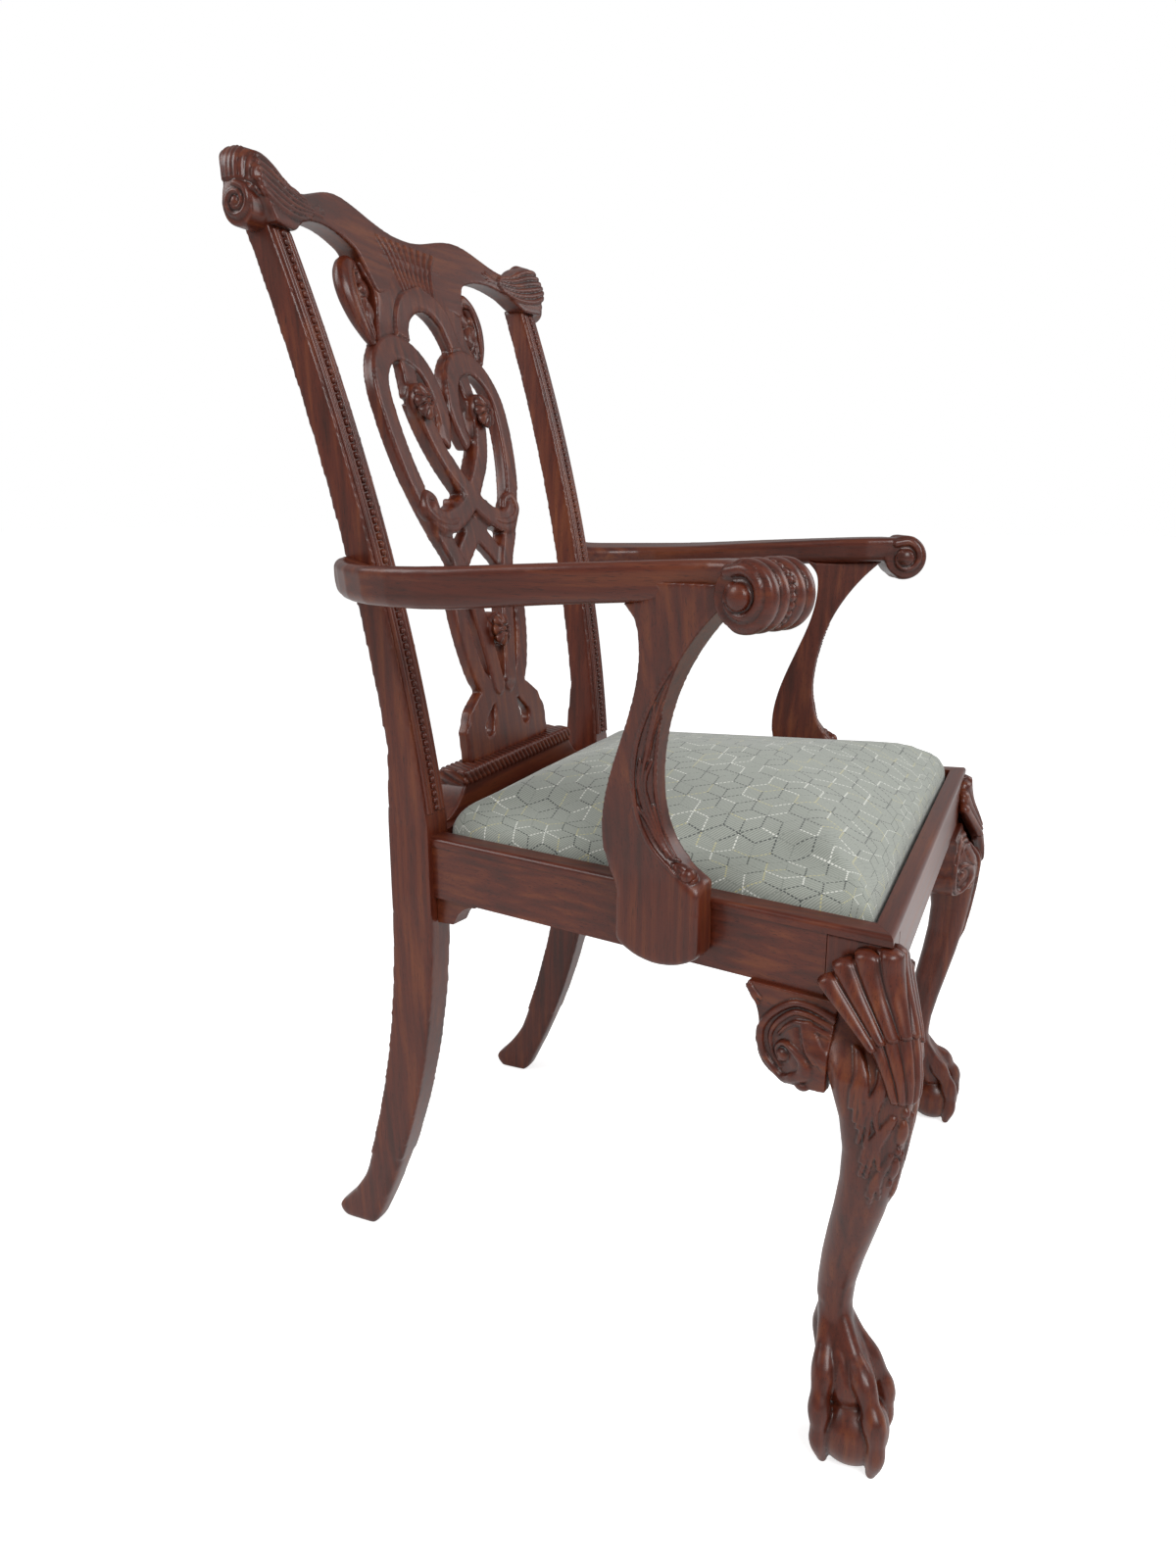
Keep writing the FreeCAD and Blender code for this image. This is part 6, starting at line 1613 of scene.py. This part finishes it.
@dataclass
class ArmSupports:
    """Swept supports with leaves up their front edge and a scroll at the foot."""

    voxel: float = 1.15
    foot: float = 452.0
    foot_band: tuple[float, float] = (432.0, 470.0)
    strip_heights: tuple[float, ...] = (446, 460, 560, 622, 640)
    strip_widths: tuple[float, ...] = (0, 16, 14, 6, 0)
    levels: tuple[float, float, float] = (388.0, 680.0, 4.0)
    head: float = 15.0
    head_start: float = 640.0
    scroll_middle: tuple[float, float] = (0.0, 464.0)
    sprays: tuple[tuple, ...] = (
        ((0, 474), (1, 522), 4, 6, 2, 2.2, 3.0), ((1, 506), (-1, 560), 3, 4.5, -2, 2.0, 2.8),
        ((-1, 548), (0, 606), 3, 3, 1, 1.8, 2.4))
    eye_height: float = 461.0
    eye_radius: float = 6.4

    def build(self) -> None:
        """Round the left support off, carve it and mirror it."""
        support = dense_copy("arm_support_left", self.voxel, 6)
        points, _ = read_points(support)
        soften(support, points[:, 2] < self.foot, 60)
        across, cut = self.hollow(support)
        points, _ = read_points(support)
        soften(support, (points[:, 2] > self.foot_band[0]) & (points[:, 2] < self.foot_band[1]), 40)
        points, _ = read_points(support)
        tool = Carver(across, points[:, 2])
        for hand in (1, -1):
            edge = ((9 * hand, 462), (8.6 * hand, 500), (7.6 * hand, 560), (2.6 * hand, 622))
            tool.strand(edge, (1.6, 1.6, 1.0), 2.0)
        tool.scroll(self.scroll_middle, 8.4, 5.0, 1.0, 0.25, 1.0, 1.9, 2.6)
        tool.bead(self.scroll_middle, (5.2, 6.2), 5.0)
        for spray in self.sprays:
            tool.spray(*spray)
        strip = (cut > 0) & (np.abs(across) < 3) & (np.abs(points[:, 2] - self.eye_height) < 3)
        eye = self.eye("arm_support_eye_left", points[strip].mean(axis=0))
        carve(support, tool.height * cut)
        support.data.shade_smooth()
        finish = Mahogany(Grain.UP, carved=True)
        dress_pair(support, finish, "arm_support_left")
        dress_pair(eye, finish)

    def eye(self, name: str, middle: np.ndarray) -> bpy.types.Object:
        """Make the round eye in which the leaves end.

        Args:
            name: Name of the piece.
            middle: Its middle on the planed strip.

        Returns:
            The left eye.
        """
        ball = bmesh.new()
        bmesh.ops.create_uvsphere(ball, u_segments=32, v_segments=20, radius=self.eye_radius * MM,
                                  matrix=Matrix.Translation(Vector(middle) * MM))
        return piece_of(ball, name)

    def hollow(self, support: bpy.types.Object) -> tuple[np.ndarray, np.ndarray]:
        """Plane off the front outer edge for the leaves, and spread the head under the arm.

        Args:
            support: Support with an even skin.

        Returns:
            Distance of each vertex across the planed strip, and one where it lies on the strip.
        """
        points, _ = read_points(support)
        along, proud = SIDE_FACE.measure(points)
        z = points[:, 2]
        levels = np.arange(*self.levels)
        near = [np.abs(z - level) < self.levels[2] for level in levels]
        even = np.ones(5) / 5
        front = np.convolve(np.pad([along[rows].min() for rows in near], 2, mode="edge"), even, mode="valid")
        outer = np.convolve(np.pad([proud[rows].max() for rows in near], 2, mode="edge"), even, mode="valid")
        back_of_edge = along - np.interp(z, levels, front)
        inside_face = np.interp(z, levels, outer) - proud
        width = np.interp(z, self.strip_heights, self.strip_widths)
        short = np.maximum(0, width - back_of_edge - inside_face)
        spread = self.head * soft_step((z - self.head_start) / 38) ** 2 * np.clip((along - 140) / 40, 0, 1)
        points[:, :2] += (short / 2 + spread)[:, None] * np.array(SIDE_FACE.along)
        points[:, :2] -= (short / 2)[:, None] * np.array(SIDE_FACE.out)
        write_points(support, points)
        return (back_of_edge - inside_face) * DIAGONAL, (short > 0) * np.clip(width / 6, 0, 1)


@dataclass
class PlainWood:
    """Pieces that keep their CAD form, with worn edges."""

    nodes: tuple[str, ...]
    grain: Grain
    wear: float = 0.9

    def build(self) -> None:
        """Copy each node, round its edges and dress it."""
        for node in self.nodes:
            mesh = merged_mesh(node, node + "_wood")
            piece = piece_from(mesh, node + "_wood")
            mesh.shade_smooth()
            mesh.set_sharp_from_angle(angle=SHARP)
            soften_edges(piece, self.wear)
            dress_wood(piece, Mahogany(self.grain), node)


@dataclass
class HiddenWork:
    """Joinery and stuffing that only shows from below or with the seat lifted out."""

    beech: tuple[str, ...] = ("corner_block_front_left", "corner_block_front_right", "corner_block_rear_left",
                              "corner_block_rear_right", "seat_frame_side_left", "seat_frame_side_right",
                              "seat_frame_front", "seat_frame_rear", "seat_frame_dowels", "arm_dowels")
    steel: tuple[str, ...] = ("corner_block_screws", "arm_support_screws")
    jute: tuple[str, ...] = ("webbing_lengthwise", "webbing_crosswise")
    lining: tuple[str, ...] = ("base_cloth", "dust_cover")

    def dress(self) -> None:
        """Give the CAD nodes that stay their finishes."""
        finishes = (
            (self.beech, Beech().material()),
            (self.steel, ScrewSteel().material()),
            (self.jute, WovenCloth("woven_jute", "A98D5F", "5F4A2C", 2.4).material()),
            (self.lining, WovenCloth("black_lining", "35332F", "191816", 1.2).material()),
        )
        for nodes, material in finishes:
            for node in nodes:
                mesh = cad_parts[node].data
                mesh.materials.clear()
                mesh.materials.append(material)
                LOG.info("%s keeps its CAD form", node)


@dataclass
class DropInSeat:
    """Stuffed cushion over the loose frame, pulled tight by its cover."""

    foot: float = 421.0
    rim: float = 440.0
    voxel: float = 5.0
    pressure: float = 4.0
    frames: int = 20
    cap: float = 5.0
    fullness: float = 0.8
    cover: float = 0.6
    front_half: float = 249.4
    taper: float = 0.174
    ends: tuple[float, float] = (-259.7, 138.3)
    turn: float = 484.0
    fold: float = 26.0
    fold_run: float = 24.0

    def build(self) -> None:
        """Make the cushion, swell it as cloth and draw its pattern's coordinates."""
        mesh = merged_mesh("seat_padding", "seat_cushion")
        low = min(vertex.co.z for vertex in mesh.vertices)
        for vertex in mesh.vertices:
            if vertex.co.z < low + MM:
                vertex.co.z = self.foot * MM
        cushion = piece_from(mesh, "seat_cushion")
        reskin(cushion, self.voxel)
        self.swell(cushion)
        self.fill_edges(cushion)
        smooth = cushion.modifiers.new("cloth", "SUBSURF")
        smooth.levels = smooth.render_levels = 1
        apply_modifiers(cushion)
        cushion.data.shade_smooth()
        self.lay_cloth(cushion)
        dress(cushion, SeatFabric().material(), Body.SEAT, "seat_fabric", "seat_cover", "seat_padding")

    def swell(self, cushion: bpy.types.Object) -> None:
        """Blow the cushion up with a cloth simulation, held at the rebate.

        Args:
            cushion: Cushion with an even skin.
        """
        rest, _ = read_points(cushion)
        pin = cushion.vertex_groups.new(name="tacked")
        pin.add([int(index) for index in np.nonzero(rest[:, 2] < self.rim)[0]], 1.0, "REPLACE")
        cloth = cushion.modifiers.new("stuffing", "CLOTH")
        cloth.settings.use_pressure = True
        cloth.settings.uniform_pressure_force = self.pressure
        cloth.settings.vertex_group_mass = "tacked"
        cloth.settings.effector_weights.gravity = 0
        scene = bpy.context.scene
        for step in range(1, self.frames + 1):
            scene.frame_set(step)
        apply_modifiers(cushion)
        scene.frame_set(1)
        swollen, _ = read_points(cushion)
        move = swollen - rest
        far = np.linalg.norm(move, axis=1, keepdims=True)
        free = np.clip((rest[:, 2:3] - self.rim) / 20, 0, 1)
        write_points(cushion, rest + move * np.minimum(1, self.cap * free / np.maximum(far, 1e-6)))
        soften(cushion, free[:, 0] > 0.3, 8)

    def fill_edges(self, cushion: bpy.types.Object) -> None:
        """Stuff the edges out, so that the sides stand up from the rails before they turn over.

        Args:
            cushion: Cushion with an even skin.
        """
        points, normals = read_points(cushion)
        points[:, :2] += self.cover * normals[:, :2]
        top = points[:, 2].max() - self.rim
        share = np.clip((points[:, 2] - self.rim) / top, 0, 1)
        points[:, 2] += top * (share ** self.fullness - share)
        write_points(cushion, points)

    def lay_cloth(self, cushion: bpy.types.Object) -> None:
        """Unroll the cover: over the top as seen from above, and on down the sides.

        Args:
            cushion: Finished cushion, which gets its cloth coordinates in metres.
        """
        points, _ = read_points(cushion)
        x, y, z = points.T
        half = self.front_half - self.taper * (y - self.ends[0])
        drop = np.clip(self.turn - z, 0, 60)
        across = x + np.sign(x) * drop * soft_step((np.abs(x) - half + self.fold) / self.fold_run)
        rear = soft_step((y - self.ends[1] + self.fold) / self.fold_run)
        front = soft_step((self.ends[0] + self.fold - y) / self.fold_run)
        along = y + drop * (rear - front)
        layer = cushion.data.uv_layers.new(name="cloth")
        corners = np.empty(len(cushion.data.loops), dtype=np.int32)
        cushion.data.loops.foreach_get("vertex_index", corners)
        layer.data.foreach_set("uv", (np.stack([across, along], 1) * MM)[corners].ravel())


@dataclass
class Studio:
    """Pale floor, soft light and the camera where the photograph was taken.

    The lamps, with their names, places, sizes and powers, and the floor are in metres.
    """

    eye: tuple[float, float, float] = (-994.84, -361.32, 726.89)
    yaw: float = math.radians(23.6473)
    pitch: float = math.radians(-14.3820)
    focal_share: float = 1101.29 / 1600
    sensor: float = 36.0
    floor_colour: str = "E6E6E6"
    floor_half: float = 30.0
    floor_glow: float = 0.68
    floor_mirrored: float = 0.35
    world_level: float = 0.42
    target: tuple[float, float, float] = (0.0, 0.0, 0.55)
    lights: tuple[tuple[str, tuple[float, float, float], float, float], ...] = (
        ("key", (-2.0, -1.9, 2.5), 1.5, 75), ("fill", (1.8, -2.2, 1.8), 1.6, 26),
        ("rim", (-1.4, 2.2, 2.4), 1.4, 34))

    def build(self) -> None:
        """Set up the floor, the lamps, the world and the camera."""
        bpy.context.scene.view_settings.view_transform = "Standard"
        self.floor()
        self.lamps()
        self.camera()

    def floor(self) -> None:
        """Lay the floor, white to the camera where no shadow falls."""
        plate = bmesh.new()
        bmesh.ops.create_grid(plate, x_segments=1, y_segments=1, size=self.floor_half)
        floor = piece_of(plate, "floor")
        material, tree = new_material("pale_floor")
        path = add_node(tree, "ShaderNodeLightPath")
        seen = add_node(tree, "ShaderNodeMath", {"operation": "MULTIPLY_ADD", 1: self.floor_mirrored},
                        {0: path.outputs["Is Glossy Ray"], 2: path.outputs["Is Camera Ray"]})
        lift = add_node(tree, "ShaderNodeMath", {"operation": "MULTIPLY", 1: self.floor_glow},
                        {0: seen.outputs[0]})
        add_shader(tree, {"Base Color": linear(self.floor_colour), "Roughness": 1.0,
                          "Emission Color": linear("FFFFFF")}, {"Emission Strength": lift.outputs[0]})
        floor.data.materials.append(material)

    def lamps(self) -> None:
        """Light the chair softly from above and from both sides."""
        world = bpy.data.worlds.new("studio")
        world.use_nodes = True
        bpy.context.scene.world = world
        tree = world.node_tree
        tree.nodes.clear()
        path = add_node(tree, "ShaderNodeLightPath")
        seen = add_node(tree, "ShaderNodeMath", {"operation": "MAXIMUM"},
                        {0: path.outputs["Is Camera Ray"], 1: path.outputs["Is Transmission Ray"]})
        level = add_node(tree, "ShaderNodeMapRange", {3: self.world_level, 4: 1.0}, {0: seen.outputs[0]})
        back = add_node(tree, "ShaderNodeBackground", {"Color": (1, 1, 1, 1)}, {"Strength": level.outputs[0]})
        add_node(tree, "ShaderNodeOutputWorld", links={"Surface": back.outputs[0]})
        for name, place, size, power in self.lights:
            data = bpy.data.lights.new(name, "AREA")
            data.size = size
            data.energy = power
            lamp = bpy.data.objects.new(name, data)
            bpy.context.scene.collection.objects.link(lamp)
            lamp.location = place
            lamp.rotation_euler = (Vector(self.target) - Vector(place)).to_track_quat("-Z", "Y").to_euler()

    def camera(self) -> None:
        """Stand the camera at the photograph's place."""
        data = bpy.data.cameras.new("camera")
        data.sensor_width = self.sensor
        data.lens = self.focal_share * self.sensor
        camera = bpy.data.objects.new("camera", data)
        bpy.context.scene.collection.objects.link(camera)
        ahead = Vector((math.cos(self.pitch) * math.cos(self.yaw), math.cos(self.pitch) * math.sin(self.yaw),
                        math.sin(self.pitch)))
        camera.location = Vector(self.eye) * MM
        camera.rotation_euler = ahead.to_track_quat("-Z", "Y").to_euler()
        bpy.context.scene.camera = camera


def build_chair() -> None:
    """Build and dress every sub-assembly."""
    logging.basicConfig(level=logging.INFO, format="%(name)s %(message)s")
    Studio().build()
    RearPosts().build()
    CrestRail().build()
    Splat().build()
    Shoe().build()
    PlainWood(("front_seat_rail", "rear_seat_rail"), Grain.ACROSS, wear=2.0).build()
    PlainWood(("side_seat_rail_left", "side_seat_rail_right"), Grain.DEPTH, wear=2.0).build()
    PlainWood(("rear_bracket_left", "rear_bracket_right"), Grain.DEPTH).build()
    FrontLegs().build()
    KneeBrackets().build()
    Arms().build()
    ArmSupports().build()
    HiddenWork().dress()
    DropInSeat().build()


if __name__ == "__main__":
    build_chair()
